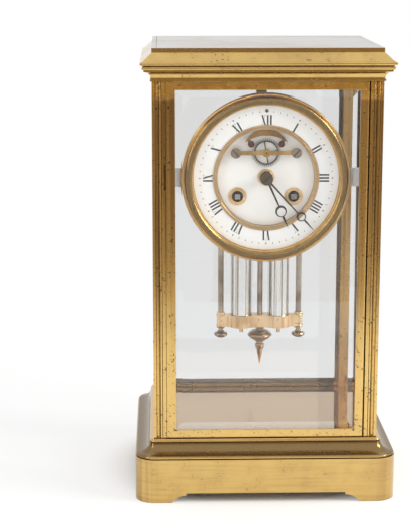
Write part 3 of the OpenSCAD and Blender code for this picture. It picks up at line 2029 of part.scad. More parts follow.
base_plinth();
base_moulding();
front_pillars();
back_pillars();
side_rails();
cornice();
top_plate();
side_glasses();
case_screws();
hinge_pins();
movement_brackets();
dial_bezel();
dial_plate();
chapter_ring();
inner_ring();
dial_centre();
dial_grommets();
front_plate();
back_plate();
plate_pillars();
movement_screws();
escapement_bridge();
suspension_cock();
bell_stand();
bell();
front_door_frame();
front_glass();
front_catch();
back_door_frame();
back_glass();
back_catch();
going_barrel();
going_arbor();
going_click();
second_wheel();
centre_wheel();
third_wheel();
escape_wheel();
anchor();
pallets();
cannon_pinion();
minute_wheel();
hour_wheel();
minute_hand();
hour_hand();
hand_nut();
strike_barrel();
strike_arbor();
strike_click();
strike_second_wheel();
strike_pin_wheel();
strike_fly();
hammer();
rating_arbor();
suspension_spring();
pendulum_frame();
pendulum_cradle();
mercury_jars();
mercury();
pendulum_knobs();
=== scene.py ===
"""Looks of a crystal regulator clock: aged brass, bevelled glass, an enamel dial and a mercury pendulum."""

import json
import math
from typing import NamedTuple

import bmesh
import bpy
from bpy.props import FloatProperty, FloatVectorProperty, IntProperty, PointerProperty
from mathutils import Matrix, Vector

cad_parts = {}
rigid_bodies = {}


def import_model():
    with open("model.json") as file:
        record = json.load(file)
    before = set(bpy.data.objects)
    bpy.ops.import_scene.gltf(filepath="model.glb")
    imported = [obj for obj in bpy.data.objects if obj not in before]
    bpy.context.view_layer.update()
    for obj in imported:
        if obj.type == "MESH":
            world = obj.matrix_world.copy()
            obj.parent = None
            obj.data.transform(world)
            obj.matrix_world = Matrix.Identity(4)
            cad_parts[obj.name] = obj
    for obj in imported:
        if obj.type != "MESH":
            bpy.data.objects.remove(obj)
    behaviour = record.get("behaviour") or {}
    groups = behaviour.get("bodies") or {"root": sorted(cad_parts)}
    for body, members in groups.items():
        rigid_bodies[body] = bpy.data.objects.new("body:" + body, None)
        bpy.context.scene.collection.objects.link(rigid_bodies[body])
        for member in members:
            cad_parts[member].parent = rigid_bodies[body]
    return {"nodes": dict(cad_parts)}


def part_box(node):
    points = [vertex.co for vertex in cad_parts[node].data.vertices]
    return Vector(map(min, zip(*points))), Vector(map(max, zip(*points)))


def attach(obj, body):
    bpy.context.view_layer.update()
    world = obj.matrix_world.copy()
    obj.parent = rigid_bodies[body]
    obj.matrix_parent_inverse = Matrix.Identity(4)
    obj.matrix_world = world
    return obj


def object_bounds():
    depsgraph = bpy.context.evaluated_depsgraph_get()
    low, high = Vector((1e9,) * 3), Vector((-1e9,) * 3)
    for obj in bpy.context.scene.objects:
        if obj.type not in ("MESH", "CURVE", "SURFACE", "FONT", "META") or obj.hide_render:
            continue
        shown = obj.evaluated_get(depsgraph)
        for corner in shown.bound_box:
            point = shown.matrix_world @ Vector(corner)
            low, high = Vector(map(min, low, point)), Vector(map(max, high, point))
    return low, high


bl_info = {
    "name": "Crystal regulator clock",
    "version": (1, 0, 0),
    "blender": (4, 5, 0),
    "location": "3D View > Sidebar > Clock",
    "description": "Dresses the clock's solids with its metals, glass and enamel, and paints its dial",
    "category": "Object",
}

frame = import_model()
CAD_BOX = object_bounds()
MM = 0.001
# Rays sent out at each point to find hollows and edges.
RAY_SAMPLES = 4


def dial_centre():
    """The point at the middle of the dial, on the face of the chapter ring."""
    low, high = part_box("chapter_ring")
    return Vector(((low.x + high.x) / 2, low.y, (low.z + high.z) / 2))


DIAL = dial_centre()
CASE_TOP = CAD_BOX[1].z
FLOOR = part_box("base_moulding")[1].z
TURN = 2 * math.pi
# Polished brass of the case's floor, and of the top plate with its warmer clouds.
FLOOR_BRASS = (0.56, 0.352, 0.155)
TOP_BRASS = (0.46, 0.43, 0.41)
WARM_BRASS = (0.47, 0.38, 0.27)

# Levels along Z where the look of the case's brass changes: the start and end of a smooth step, in metres.
PLINTH_TOP = (0.0295, 0.0305)
RETURN_FROM, RETURN_TO = (0.0297, 0.0305), (0.0405, 0.041)
COVE_FROM, COVE_TO = (0.0305, 0.0325), (0.0385, 0.0405)
FOOT_FROM = (0.0405, 0.0415)
SPECKED_FROM, SPECKED_TO = (0.03, 0.05), (0.276, 0.282)
DARKER_FROM = (0.06, 0.24)
STREAKED_FROM = (0.08, 0.16)
CORNICE_FROM = (0.264, 0.2735)
RAIL_FROM, RAIL_TO = (0.2655, 0.268), (0.278, 0.279)
# Distances from the clock's middle where it changes, in the same way.
RETURN_X = (0.0755, 0.081)
CORNER_X, CORNER_Y = (0.066, 0.086), (0.055, 0.075)

CASE_NODES = (
    "base_plinth", "base_moulding", "front_pillars", "side_rails", "cornice", "top_plate", "front_door_frame",
)
BACK_NODES = ("back_pillars", "back_door_frame")
PANE_NODES = ("side_glasses", "front_glass")
GILT_NODES = ("dial_grommets", "front_catch", "back_catch")
PLATE_NODES = ("dial_plate", "front_plate", "back_plate", "plate_pillars", "suspension_cock")
WHEEL_NODES = (
    "going_barrel", "second_wheel", "centre_wheel", "third_wheel", "cannon_pinion", "minute_wheel",
    "hour_wheel", "strike_barrel", "strike_second_wheel", "strike_pin_wheel", "strike_fly",
)
STEEL_NODES = (
    "case_screws", "hinge_pins", "bell_stand", "hammer", "rating_arbor", "suspension_spring",
)
WINDING_NODES = ("going_arbor", "going_click", "strike_arbor", "strike_click")


class Value:
    """One output of a finish's nodes; arithmetic on it adds Math nodes."""

    def __init__(self, finish, socket):
        self.finish = finish
        self.socket = socket

    def _math(self, operation, first, second):
        return self.finish.node("ShaderNodeMath", {"operation": operation}, {0: first, 1: second})

    def __add__(self, other):
        return self._math("ADD", self, other)

    def __radd__(self, other):
        return self._math("ADD", other, self)

    def __sub__(self, other):
        return self._math("SUBTRACT", self, other)

    def __rsub__(self, other):
        return self._math("SUBTRACT", other, self)

    def __mul__(self, other):
        return self._math("MULTIPLY", self, other)

    def __rmul__(self, other):
        return self._math("MULTIPLY", other, self)

    def __or__(self, other):
        return self._math("MAXIMUM", self, other)


class Finish:
    """A material and the nodes that make it."""

    def __init__(self, name, owner=None):
        self.material = owner or bpy.data.materials.new(name)
        self.material.use_nodes = True
        self.tree = self.material.node_tree
        self.tree.nodes.clear()

    def node(self, kind, settings=None, links=None, output=0):
        """Adds a node, sets its settings, then fills its sockets with values or links."""
        made = self.tree.nodes.new(kind)
        for key, value in (settings or {}).items():
            setattr(made, key, value)
        for key, value in (links or {}).items():
            if isinstance(value, Value):
                self.tree.links.new(value.socket, made.inputs[key])
            else:
                made.inputs[key].default_value = value
        return Value(self, made.outputs[output])

    def place(self, stretch=(1, 1, 1)):
        """The point on the piece, stretched along the frame's axes."""
        point = self.node("ShaderNodeTexCoord", output="Object")
        if tuple(stretch) == (1, 1, 1):
            return point
        return self.node("ShaderNodeMapping", {}, {"Vector": point, "Scale": stretch})

    def along(self, axis):
        """The point's coordinate on one axis."""
        return self.node("ShaderNodeSeparateXYZ", {}, {0: self.place()}, output=axis)

    def height(self, low, high):
        """0 below a low level and 1 above a high one, along Z."""
        return self.band(self.along("Z"), low, high)

    def layer(self, start, end):
        """1 between two smooth steps along Z, each as (low, high)."""
        return self.height(*start) - self.height(*end)

    def outside(self, axis, step):
        """0 near the middle of an axis and 1 beyond a smooth step to both sides."""
        near, far = step
        place = self.along(axis)
        return self.band(place * place, near ** 2, far ** 2)

    def noise(self, scale, detail=3.0, stretch=(1, 1, 1)):
        """Soft random grey, finer with a larger scale."""
        links = {"Vector": self.place(stretch), "Scale": scale, "Detail": detail}
        return self.node("ShaderNodeTexNoise", {}, links)

    def turning(self, centre, scale):
        """Fine rings round an axis along Y through a point, as a lathe leaves them."""
        out = self.node("ShaderNodeVectorMath", {"operation": "SUBTRACT"}, {0: self.place(), 1: centre})
        flat = self.node("ShaderNodeVectorMath", {"operation": "MULTIPLY"}, {0: out, 1: (1, 0, 1)})
        radius = self.node("ShaderNodeVectorMath", {"operation": "LENGTH"}, {0: flat}, output="Value")
        links = {"W": radius, "Scale": scale, "Detail": 2.0}
        return self.node("ShaderNodeTexNoise", {"noise_dimensions": "1D"}, links)

    def band(self, value, low, high):
        """A smooth step from 0 at low to 1 at high."""
        links = {"Value": value, "From Min": low, "From Max": high}
        return self.node("ShaderNodeMapRange", {"interpolation_type": "SMOOTHSTEP"}, links)

    def mix(self, share, first, second):
        """A colour between two colours."""
        links = {0: share, 6: first, 7: second}
        return self.node("ShaderNodeMix", {"data_type": "RGBA"}, links, output=2)

    def layered(self, base, layers):
        """A colour with others laid over it in turn, each as (share, colour)."""
        base = rgba(base)
        for share, colour in layers:
            base = self.mix(share, base, colour if isinstance(colour, Value) else rgba(colour))
        return base

    def hollows(self, reach):
        """1 deep in a groove or corner and 0 on an open face."""
        open_share = self.node(
            "ShaderNodeAmbientOcclusion", {"samples": RAY_SAMPLES}, {"Distance": reach}, output="AO")
        return 1 - open_share

    def soft_edges(self, radius):
        """A normal that rounds sharp edges."""
        return self.node("ShaderNodeBevel", {"samples": RAY_SAMPLES}, {"Radius": radius})

    def bump(self, height, strength, distance, normal=None):
        """A normal roughened by a height, on top of another normal where one is given."""
        links = {"Height": height, "Strength": strength, "Distance": distance}
        if normal is not None:
            links["Normal"] = normal
        return self.node("ShaderNodeBump", {}, links)

    def end(self, kind, shader):
        """Adds the last node, which has no output of its own."""
        last = self.tree.nodes.new(kind)
        self.tree.links.new(shader.socket, last.inputs["Surface"])

    def shown(self, shader):
        """The material, with a shader on its surface."""
        self.end("ShaderNodeOutputMaterial", shader)
        return self.material

    def surface(self, links):
        """The material, made of one Principled BSDF."""
        return self.shown(self.node("ShaderNodeBsdfPrincipled", {}, links, output="BSDF"))


def rgba(colour):
    """A colour with full alpha."""
    return (*colour[:3], 1.0)


def tint(colour, factor):
    """A colour made lighter or darker by a factor."""
    return [factor * part for part in colour]


def dress(material, *nodes):
    """Gives solids of the frame one material."""
    for name in nodes:
        mesh = frame["nodes"][name].data
        mesh.materials.clear()
        mesh.materials.append(material)


class FootTone(NamedTuple):
    """A tone of the brass low on the case: colour, share, the step where it ends and its reach across."""

    colour: tuple
    share: float
    end: tuple
    reach: float


class OldBrass(Finish):
    """Old lacquered brass: darker upwards, with patina in its hollows, painted shade in deep hollows and the
    cove, a painted darker reflection on the side returns, dark spots and fine rubbing marks.
    """

    def __init__(self, name):
        super().__init__(name)
        self.cloud = self.noise(16.0, 4.0)
        self.mottle = self.noise(95.0, 5.0)
        # A tone that varies at random and grows darker upwards.
        lift = 0.55 * self.height(*DARKER_FROM) - 0.4 * self.height(*CORNICE_FROM)
        self.tone_darker_upwards = self.band(self.cloud + lift, 0.5, 1.1)
        self.top = self.height(CASE_TOP - 0.5 * MM, CASE_TOP - 0.2 * MM)
        self.floor = self.layer(
            (FLOOR - 0.4 * MM, FLOOR - 0.1 * MM), (FLOOR + 0.1 * MM, FLOOR + 0.4 * MM))
        # The moulding's side returns are browner, less metallic and uncoated: partly patina, partly a painted
        # darker reflection.
        self.returns = self.outside("X", RETURN_X) * self.layer(RETURN_FROM, RETURN_TO)

    def colours(self, bright, dull, patina, foot):
        """The colours laid over bright brass, each as (share, colour)."""
        streak = self.band(self.noise(300.0, 3.0, (1, 1, 0.02)), 0.4, 0.6)
        streaked = self.layer(STREAKED_FROM, CORNICE_FROM)
        plinth = 1 - self.height(*PLINTH_TOP)
        corners = self.outside("X", CORNER_X) * self.outside("Y", CORNER_Y) * plinth
        brushed = self.band(self.noise(120.0, 4.0, (0.2, 0.2, 5)), 0.45, 0.75) * plinth
        inside = 1 - self.outside("X", (foot.reach, foot.reach + MM))
        low = self.layer(FOOT_FROM, foot.end) * inside
        rail = self.layer(RAIL_FROM, RAIL_TO) * self.band(self.mottle, 0.25, 0.55)
        # Painted shade: the cove and the deep hollows within 12 mm are darkened.
        cove_shade = self.layer(COVE_FROM, COVE_TO)
        shade = self.band(self.hollows(12.0 * MM), 0.25, 0.8)
        grime = self.band(self.hollows(2.5 * MM), 0.3, 0.85)
        warm = self.band(self.cloud, 0.4, 0.75) * 0.5 + self.band(self.mottle, 0.4, 0.8) * 0.3
        return (
            (self.tone_darker_upwards, dull),
            (self.band(self.mottle, 0.35, 0.8) * 0.3, dull),
            (low * foot.share, foot.colour),
            (rail * 0.9, tint(bright, 1.4)),
            (corners * (0.15 + 0.5 * streak) + brushed * 0.35, dull),
            (streaked * streak * 0.6, tint(dull, 0.6)),
            (streaked * (1 - streak) * 0.25, bright),
            # Painted shade in the deep hollows and the cove.
            (shade * 0.3 + cove_shade * 0.9, tint(dull, 0.5)),
            (grime * 0.85, patina),
            # Side returns: partly patina, partly a painted darker reflection.
            (self.returns * 0.85, tint(dull, 0.4)),
            (self.floor, FLOOR_BRASS),
            (self.top, self.mix(warm, rgba(TOP_BRASS), rgba(WARM_BRASS))),
        )

    def marks(self, spots):
        """Dark specks and blots; a lower level of spots gives more of them."""
        specked = self.height(*SPECKED_FROM)
        worn = (specked - 0.6 * self.height(*SPECKED_TO)) * (self.band(self.mottle, 0.42, 0.6) + 0.2)
        worn = worn + 0.4 * self.band(self.mottle, 0.5, 0.64)
        speck = self.band(self.noise(650.0, 2.0), spots, spots + 0.05) * worn
        blot = self.band(self.noise(210.0, 3.0), spots + 0.05, spots + 0.12)
        blot = blot * self.band(self.cloud, 0.42, 0.62) * specked
        return (speck | blot) * (1 - 0.8 * self.floor) * (1 - 0.95 * self.top)


def old_brass(name, bright, dull, patina, foot, spots, rough, edge):
    """The case's brass, from its colours, its level of spots, its roughness and the softness of its edges."""
    f = OldBrass(name)
    marks = f.marks(spots)
    layers = (*f.colours(bright, dull, patina, foot), (marks * 0.8, tint(patina, 0.3)))
    rub = f.noise(60.0, 2.0, (1, 1, 22)) + f.noise(60.0, 2.0, (22, 1, 1))
    grain = (0.6 * rub + 0.4 * f.mottle) * (1 - 0.9 * f.top) - 0.5 * marks
    return f.surface({
        "Base Color": f.layered(bright, layers),
        "Metallic": 1 - 0.45 * marks - 0.5 * f.returns,
        "Roughness": (rough + 0.12 * f.tone_darker_upwards + 0.1 * f.mottle) * (1 - 0.75 * f.floor) + 0.25 * marks,
        "Normal": f.bump(grain, 0.1, 0.06 * MM, f.soft_edges(edge)),
        "Coat Weight": 0.5 - 0.5 * (f.top | f.returns),
        "Coat Roughness": 0.08,
    })


def turned_metal(name, colour, shade, rough, grain=1.0, depth=1.5, centre=None):
    """Clean metal, brushed or turned round a centre, with dark spots and painted shade in hollows to a depth in
    millimetres.
    """
    f = Finish(name)
    cloud = f.noise(70.0, 4.0)
    lines = f.turning(centre, 2600.0) if centre else f.noise(260.0, 2.0, (1, 0.2, 9))
    spot = f.band(f.noise(520.0, 2.0), 0.66, 0.74)
    # The dark spots are the metal's own; the darkening in hollows is painted shade.
    dark = spot * 0.6 | f.band(f.hollows(depth * MM), 0.25, 0.75) * 0.9
    return f.surface({
        "Base Color": f.layered(colour, (
            (f.band(cloud, 0.35, 0.75), shade),
            (dark, tint(shade, 0.2)),
        )),
        "Metallic": 1.0,
        "Roughness": rough + 0.12 * cloud + 0.1 * lines,
        "Normal": f.bump(lines, 0.1 * grain, 0.05 * MM),
    })


def slotted_steel(name, colour, brown, reach):
    """Browned screw steel, brown in patches, with painted shade that darkens its slots and browns round its
    heads' edges.
    """
    f = Finish(name)
    cloud = f.noise(300.0, 3.0)
    deep = f.hollows(reach)
    return f.surface({
        "Base Color": f.layered(colour, (
            (f.band(cloud, 0.35, 0.7) * 0.6, brown),
            # Painted shade: brown near the heads' edges, near black deep in the slots.
            (f.band(deep, 0.05, 0.2) * 0.5, brown),
            (f.band(deep, 0.2, 0.45), tint(brown, 0.1)),
        )),
        "Metallic": 1.0,
        "Roughness": 0.24 + 0.15 * cloud,
        "Normal": f.bump(f.noise(500.0, 2.0, (1, 1, 8)), 0.1, 0.04 * MM),
    })


def clear_glass(name, colour, smear):
    """Clear glass with faint smears; it lets light through to what it covers."""
    f = Finish(name)
    film = f.band(f.noise(24.0, 5.0), 0.5, 0.8) * smear
    links = {"Base Color": rgba(colour), "Roughness": film, "IOR": 1.5, "Transmission Weight": 1.0}
    glass = f.node("ShaderNodeBsdfPrincipled", {}, links, output="BSDF")
    clear = f.node("ShaderNodeBsdfTransparent", {}, {"Color": rgba(colour)})
    shadow = f.node("ShaderNodeLightPath", output="Is Shadow Ray")
    scattered = f.node("ShaderNodeLightPath", output="Is Diffuse Ray")
    return f.shown(f.node("ShaderNodeMixShader", {}, {0: shadow | scattered, 1: glass, 2: clear}))


def fired_enamel(name, colour, yellowing_and_rim_reflection, reach):
    """White enamel: glossy, a little uneven, warmer in patches, and with a painted warm reflection of the brass
    within reach of a rim.
    """
    f = Finish(name)
    cloud = f.noise(45.0, 4.0)
    pit = f.band(f.noise(900.0, 2.0), 0.7, 0.78)
    # The warm patches are the enamel's own; the warmth within reach of a rim is a painted reflection of the
    # brass rims.
    warm = f.band(cloud, 0.45, 0.8) * 0.6 + f.hollows(reach) * 0.5
    return f.surface({
        "Base Color": f.layered(colour, (
            (warm, yellowing_and_rim_reflection),
            (pit * 0.35, tint(yellowing_and_rim_reflection, 0.6)),
        )),
        "Roughness": 0.16 + 0.08 * cloud,
        "Normal": f.bump(cloud, 0.05, 0.2 * MM),
        "Coat Weight": 0.3,
    })


def matt_coat(name, colour, worn):
    """Fired paint or silvering, a little thin in places."""
    f = Finish(name)
    thin = f.noise(700.0, 3.0)
    return f.surface({
        "Base Color": f.layered(colour, ((f.band(thin, 0.5, 0.8), worn),)),
        "Roughness": 0.3 + 0.2 * thin,
        "Normal": f.bump(thin, 0.08, 0.02 * MM),
    })


def blued(name, colour, shade):
    """Blue-black steel, polished, with a brown tinge in places."""
    f = Finish(name)
    cloud = f.noise(180.0, 3.0)
    return f.surface({
        "Base Color": f.layered(colour, ((f.band(cloud, 0.4, 0.7), shade),)),
        "Metallic": 0.85,
        "Roughness": 0.28 + 0.15 * cloud,
        "Normal": f.bump(f.noise(600.0, 2.0, (1, 1, 6)), 0.06, 0.02 * MM),
    })


def quicksilver(name, colour, tarnish):
    """A liquid mirror with a faint skin and brown streaks of tarnish."""
    f = Finish(name)
    skin = f.noise(40.0, 3.0, (1, 1, 0.25))
    film = f.band(f.noise(320.0, 2.0, (1, 1, 0.03)), 0.48, 0.62) * 0.6
    return f.surface({
        "Base Color": f.layered(colour, ((film, tarnish),)),
        "Metallic": 1.0,
        "Roughness": 0.03 + 0.05 * skin,
        "Normal": f.bump(skin, 0.04, 0.3 * MM),
    })


def dark_stone(name, colour, glint):
    """A polished dark red stone."""
    f = Finish(name)
    cloud = f.noise(800.0, 3.0)
    return f.surface({
        "Base Color": f.layered(colour, ((cloud, glint),)),
        "Roughness": 0.2 + 0.1 * cloud,
        "Specular IOR Level": 0.25,
    })


def colour_property(label, description, default):
    """A colour of the panel."""
    return FloatVectorProperty(
        name=label, description=description, default=default, size=3, min=0, max=1, subtype="COLOR")


def length_property(label, description, default):
    """A length of the panel, in metres."""
    return FloatProperty(
        name=label, description=description, default=default, min=0, unit="LENGTH", precision=5)


def amount_property(label, description, default, **limits):
    """A plain number of the panel, from 0 up."""
    return FloatProperty(name=label, description=description, default=default, min=0, **limits)


class ClockMetals(bpy.types.PropertyGroup):
    """Colours of the clock's metals."""

    # Bright brass is the base colour, seen low on the case, which grows darker upwards.
    bright: colour_property("Bright brass", "Rubbed brass low on the case", (0.68, 0.46, 0.15))
    dim: colour_property("Dim brass", "Brass at the back of the case", (0.75, 0.48, 0.19))
    dull: colour_property("Dull brass", "Brown lacquered brass higher up", (0.4, 0.24, 0.085))
    # Painted shade: a grey-brown tone laid low on the back rail.
    film: colour_property("Brown film", "Grey-brown film low at the back of the case", (0.112, 0.095, 0.058))
    patina: colour_property("Patina", "Red-brown deposit in grooves", (0.13, 0.065, 0.025))
    gilt: colour_property("Gilt brass", "Grommets, catches, bell and pendulum mounts", (0.82, 0.58, 0.33))
    gilt_shade: colour_property("Gilt shade", "Duller patches of the gilt brass", (0.6, 0.38, 0.17))
    ring: colour_property("Ring brass", "Ring round the dial's middle", (0.55, 0.38, 0.21))
    ring_shade: colour_property("Ring shade", "Duller patches of the ring", (0.43, 0.28, 0.14))
    bezel: colour_property("Bezel brass", "Brown lacquered bezel", (0.78, 0.49, 0.17))
    bezel_shade: colour_property("Bezel shade", "Duller patches of the bezel", (0.6, 0.37, 0.125))
    bronze: colour_property("Escapement brass", "Brown brass of bridge and anchor", (0.32, 0.19, 0.07))
    escape: colour_property("Escape wheel", "Dark bronze of the escape wheel", (0.12, 0.1, 0.075))
    plate: colour_property("Plate brass", "Plates and wheels of the movement", (0.66, 0.49, 0.21))
    plate_shade: colour_property("Plate shade", "Duller patches of the movement's brass", (0.42, 0.29, 0.11))
    steel: colour_property("Steel", "Case screws, arbors and pins", (0.34, 0.325, 0.31))
    steel_shade: colour_property("Steel shade", "Duller patches of the steel", (0.2, 0.18, 0.165))
    screw: colour_property("Screws", "Browned screws of the movement", (0.28, 0.235, 0.19))
    # The brown serves both the steel's own browning and the painted shade round the heads.
    brown: colour_property("Screw edges", "Brown round the heads of the screws", (0.2, 0.14, 0.08))
    rod: colour_property("Pendulum rods", "Dulled plated steel", (0.45, 0.38, 0.31))
    rod_shade: colour_property("Rod shade", "Duller patches of the rods", (0.24, 0.18, 0.13))
    knob: colour_property("Pendulum knobs", "Brown gilt of the knobs and finial", (0.52, 0.38, 0.24))
    silver: colour_property("Silvering", "Matt silvered brackets of the movement", (0.92, 0.92, 0.925))
    silver_shade: colour_property("Silvering shade", "Duller patches of the silvering", (0.86, 0.86, 0.855))
    blued: colour_property("Blued steel", "Hands", (0.03, 0.03, 0.042))
    blued_shade: colour_property("Blued shade", "Brown tinge of the hands", (0.07, 0.055, 0.045))
    mercury: colour_property("Mercury", "Liquid metal in the jars", (0.8, 0.795, 0.785))
    tarnish: colour_property("Tarnish", "Brown streaks on the mercury", (0.42, 0.32, 0.24))
    edge: length_property("Edge softness", "Radius that rounds the case's edges", 0.3 * MM)


class ClockDial(bpy.types.PropertyGroup):
    """Sizes and colours of the painted dial."""

    enamel: colour_property("Enamel", "White of the dial", (0.83, 0.83, 0.82))
    # The yellowed tones serve both the enamel's own warm patches and the painted reflection of the brass rims.
    yellowing_and_rim_reflection: colour_property("Yellowed enamel", "Warmer patches of the dial", (0.83, 0.78, 0.7))
    centre: colour_property("Middle enamel", "White of the dial's middle", (0.85, 0.848, 0.832))
    centre_yellowing_and_rim_reflection: colour_property("Yellowed middle", "Warmer rim of the dial's middle", (0.87, 0.8, 0.72))
    ink: colour_property("Numerals", "Black of the numerals", (0.012, 0.012, 0.014))
    numeral_in: length_property("Numeral base", "Radius of the numerals' feet", 34.9 * MM)
    numeral_h: length_property("Numeral height", "Height of a numeral", 6.3 * MM)
    thick: length_property("Thick stroke", "Width of a thick stroke", 1.05 * MM)
    thin: length_property("Thin stroke", "Width of a thin stroke", 0.13 * MM)
    serif: length_property("Serif", "Length of a serif", 1.6 * MM)
    paint: length_property("Paint", "Thickness of the paint", 0.03 * MM)
    track_r: length_property("Minute track", "Radius of the minute marks", 43.4 * MM)
    dot_r: length_property("Minute mark", "Radius a minute's stroke is stretched from", 0.36 * MM)
    five_r: length_property("Five-minute mark", "Half length of a five-minute mark", 0.75 * MM)
    minutes: IntProperty(name="Minutes", description="Marks round the track", default=60, min=12)


class ClockGlass(bpy.types.PropertyGroup):
    """Colours of the glass and stones."""

    tint: colour_property("Glass", "Tint of the panes", (0.965, 0.97, 0.97))
    back: colour_property("Back glass", "Tint of the back pane", (0.78, 0.785, 0.79))
    jar: colour_property("Jar glass", "Tint of the mercury jars", (0.97, 0.98, 0.975))
    stone: colour_property("Pallet stone", "Dark red of the pallets", (0.06, 0.012, 0.008))
    stone_glint: colour_property("Pallet glint", "Lighter veins of the pallets", (0.1, 0.025, 0.016))
    smear: amount_property("Smears", "Roughness of the faint smears", 0.02, max=1)


class ClockStage(bpy.types.PropertyGroup):
    """Camera, floor and lights."""

    eye: FloatVectorProperty(
        name="Camera", description="Place of the camera", default=(-0.06731, -1.05185, 0.36695), size=3,
        subtype="XYZ", unit="LENGTH")
    tilt: FloatProperty(name="Tilt", description="Camera's tilt downwards", default=0.2055, subtype="ANGLE")
    yaw: FloatProperty(name="Turn", description="Camera's turn to the right", default=0.0273, subtype="ANGLE")
    lens: amount_property("Lens", "Focal length in millimetres", 106.04)
    sensor: amount_property("Sensor", "Long side of the sensor in millimetres", 36)
    floor: colour_property("Floor", "Pale floor", (0.94, 0.94, 0.945))
    lift: amount_property("Floor lift", "Share of plain white in the floor", 0.7, max=1)
    flag: colour_property("Flag", "Dark card that the polished metal mirrors", (0.3, 0.21, 0.12))
    sky: amount_property("Sky", "Strength of the soft light all round", 0.8)
    key: amount_property("Key light", "Power of the soft light on the right", 26.0)
    front: amount_property("Front light", "Power of the soft light on the dial", 1.6)
    fill: amount_property("Fill light", "Power of the strip light on the left", 2.2)


class ClockBeads(bpy.types.PropertyGroup):
    """Sizes of the pendulum's turned beads."""

    bead: length_property("Bead", "Radius of a bead's section", 0.5 * MM)
    knob_r: length_property("Knob", "Radius of the knobs under the rods", 4.65 * MM)


class CLOCK_OT_case(bpy.types.Operator):
    """Gives the case, its doors and its base their aged brass"""

    bl_idname = "clock.case"
    bl_label = "Case brass"

    def execute(self, context):
        m = context.scene.clock_metals
        # The front case grows paler towards its foot.
        paler_foot = FootTone(colour=tint(m.bright, 1.3), share=0.3, end=(0.09, 0.18), reach=1.0)
        # Painted shade, grey-brown, low on the back rail.
        shaded_back_foot = FootTone(colour=m.film, share=0.85, end=(0.062, 0.08), reach=0.0585)
        front = old_brass(
            "aged_brass", m.bright, m.dull, m.patina, paler_foot, spots=0.62, rough=0.16, edge=m.edge)
        back = old_brass(
            "dark_brass", m.dim, m.dull, m.patina, shaded_back_foot, spots=0.64, rough=0.2, edge=m.edge)
        dress(front, *CASE_NODES)
        dress(back, *BACK_NODES)
        return {"FINISHED"}


class CLOCK_OT_panes(bpy.types.Operator):
    """Gives the panes their bevelled glass"""

    bl_idname = "clock.panes"
    bl_label = "Glass panes"

    def execute(self, context):
        g = context.scene.clock_glass
        dress(clear_glass("pane_glass", g.tint, g.smear), *PANE_NODES)
        dress(clear_glass("back_pane_glass", g.back, g.smear), "back_glass")
        return {"FINISHED"}


class CLOCK_OT_dial_face(bpy.types.Operator):
    """Gives the dial its enamel and its brass rings"""

    bl_idname = "clock.dial_face"
    bl_label = "Dial face"

    def execute(self, context):
        m, d = context.scene.clock_metals, context.scene.clock_dial
        ring_enamel = fired_enamel("fired_enamel", d.enamel, d.yellowing_and_rim_reflection, reach=4 * MM)
        centre_enamel = fired_enamel("centre_enamel", d.centre, d.centre_yellowing_and_rim_reflection, reach=14 * MM)
        gilt = turned_metal("gilt_brass", m.gilt, m.gilt_shade, rough=0.18, grain=0.3)
        bezel = turned_metal(
            "bezel_brass", m.bezel, m.bezel_shade, rough=0.15, grain=0.4, depth=3.0, centre=DIAL)
        ring = turned_metal("ring_brass", m.ring, m.ring_shade, rough=0.18, grain=0.4, centre=DIAL)
        dress(ring_enamel, "chapter_ring")
        dress(centre_enamel, "dial_centre")
        dress(gilt, *GILT_NODES)
        dress(bezel, "dial_bezel")
        dress(ring, "inner_ring")
        return {"FINISHED"}


# The numerals' letters, in millimetres: the width of each, and its strokes as (x at the top, x at the foot).
GLYPHS = {
    "I": {"advance": 2.05, "thick": [(0, 0)], "thin": []},
    "V": {"advance": 3.2, "thick": [(-0.95, 0)], "thin": [(0.95, 0)]},
    "X": {"advance": 3.3, "thick": [(-0.95, 0.95)], "thin": [(0.95, -0.95)]},
}
HOURS = ("XII", "I", "II", "III", "IIII", "V", "VI", "VII", "VIII", "IX", "X", "XI")


def numeral_strokes(word, d):
    """The strokes of one numeral: x at top and foot, width, and foot and top as shares of its height."""
    serif_t = d.thin / d.numeral_h
    at = -sum(GLYPHS[letter]["advance"] for letter in word) / 2
    for letter in word:
        glyph = GLYPHS[letter]
        middle = at + glyph["advance"] / 2
        at += glyph["advance"]
        for kind in ("thick", "thin"):
            for top, foot in glyph[kind]:
                x_top, x_foot = (middle + top) * MM, (middle + foot) * MM
                yield x_top, x_foot, getattr(d, kind), 0, 1
                yield x_top, x_top, d.serif, 1 - serif_t, 1
                yield x_foot, x_foot, d.thick if letter == "V" else d.serif, 0, serif_t


def add_stroke(mesh, corners, face_y, back_y):
    """Adds one flat bar of paint between two depths."""
    front = [mesh.verts.new((x, face_y, z)) for x, z in corners]
    back = [mesh.verts.new((x, back_y, z)) for x, z in corners]
    mesh.faces.new(front)
    mesh.faces.new(back[::-1])
    for i in range(len(corners)):
        j = (i + 1) % len(corners)
        mesh.faces.new((front[j], front[i], back[i], back[j]))


def mesh_piece(name, mesh, material):
    """Makes a piece from a finished mesh."""
    bmesh.ops.recalc_face_normals(mesh, faces=mesh.faces)
    data = bpy.data.meshes.new(name)
    mesh.to_mesh(data)
    mesh.free()
    data.materials.append(material)
    piece = bpy.data.objects.new(name, data)
    bpy.context.scene.collection.objects.link(piece)
    return piece


def on_dial(x, radius, turn):
    """The (x, z) of a point beside a spoke of the dial, at a distance along it."""
    return (
        DIAL.x + x * math.cos(turn) + radius * math.sin(turn),
        DIAL.z - x * math.sin(turn) + radius * math.cos(turn),
    )


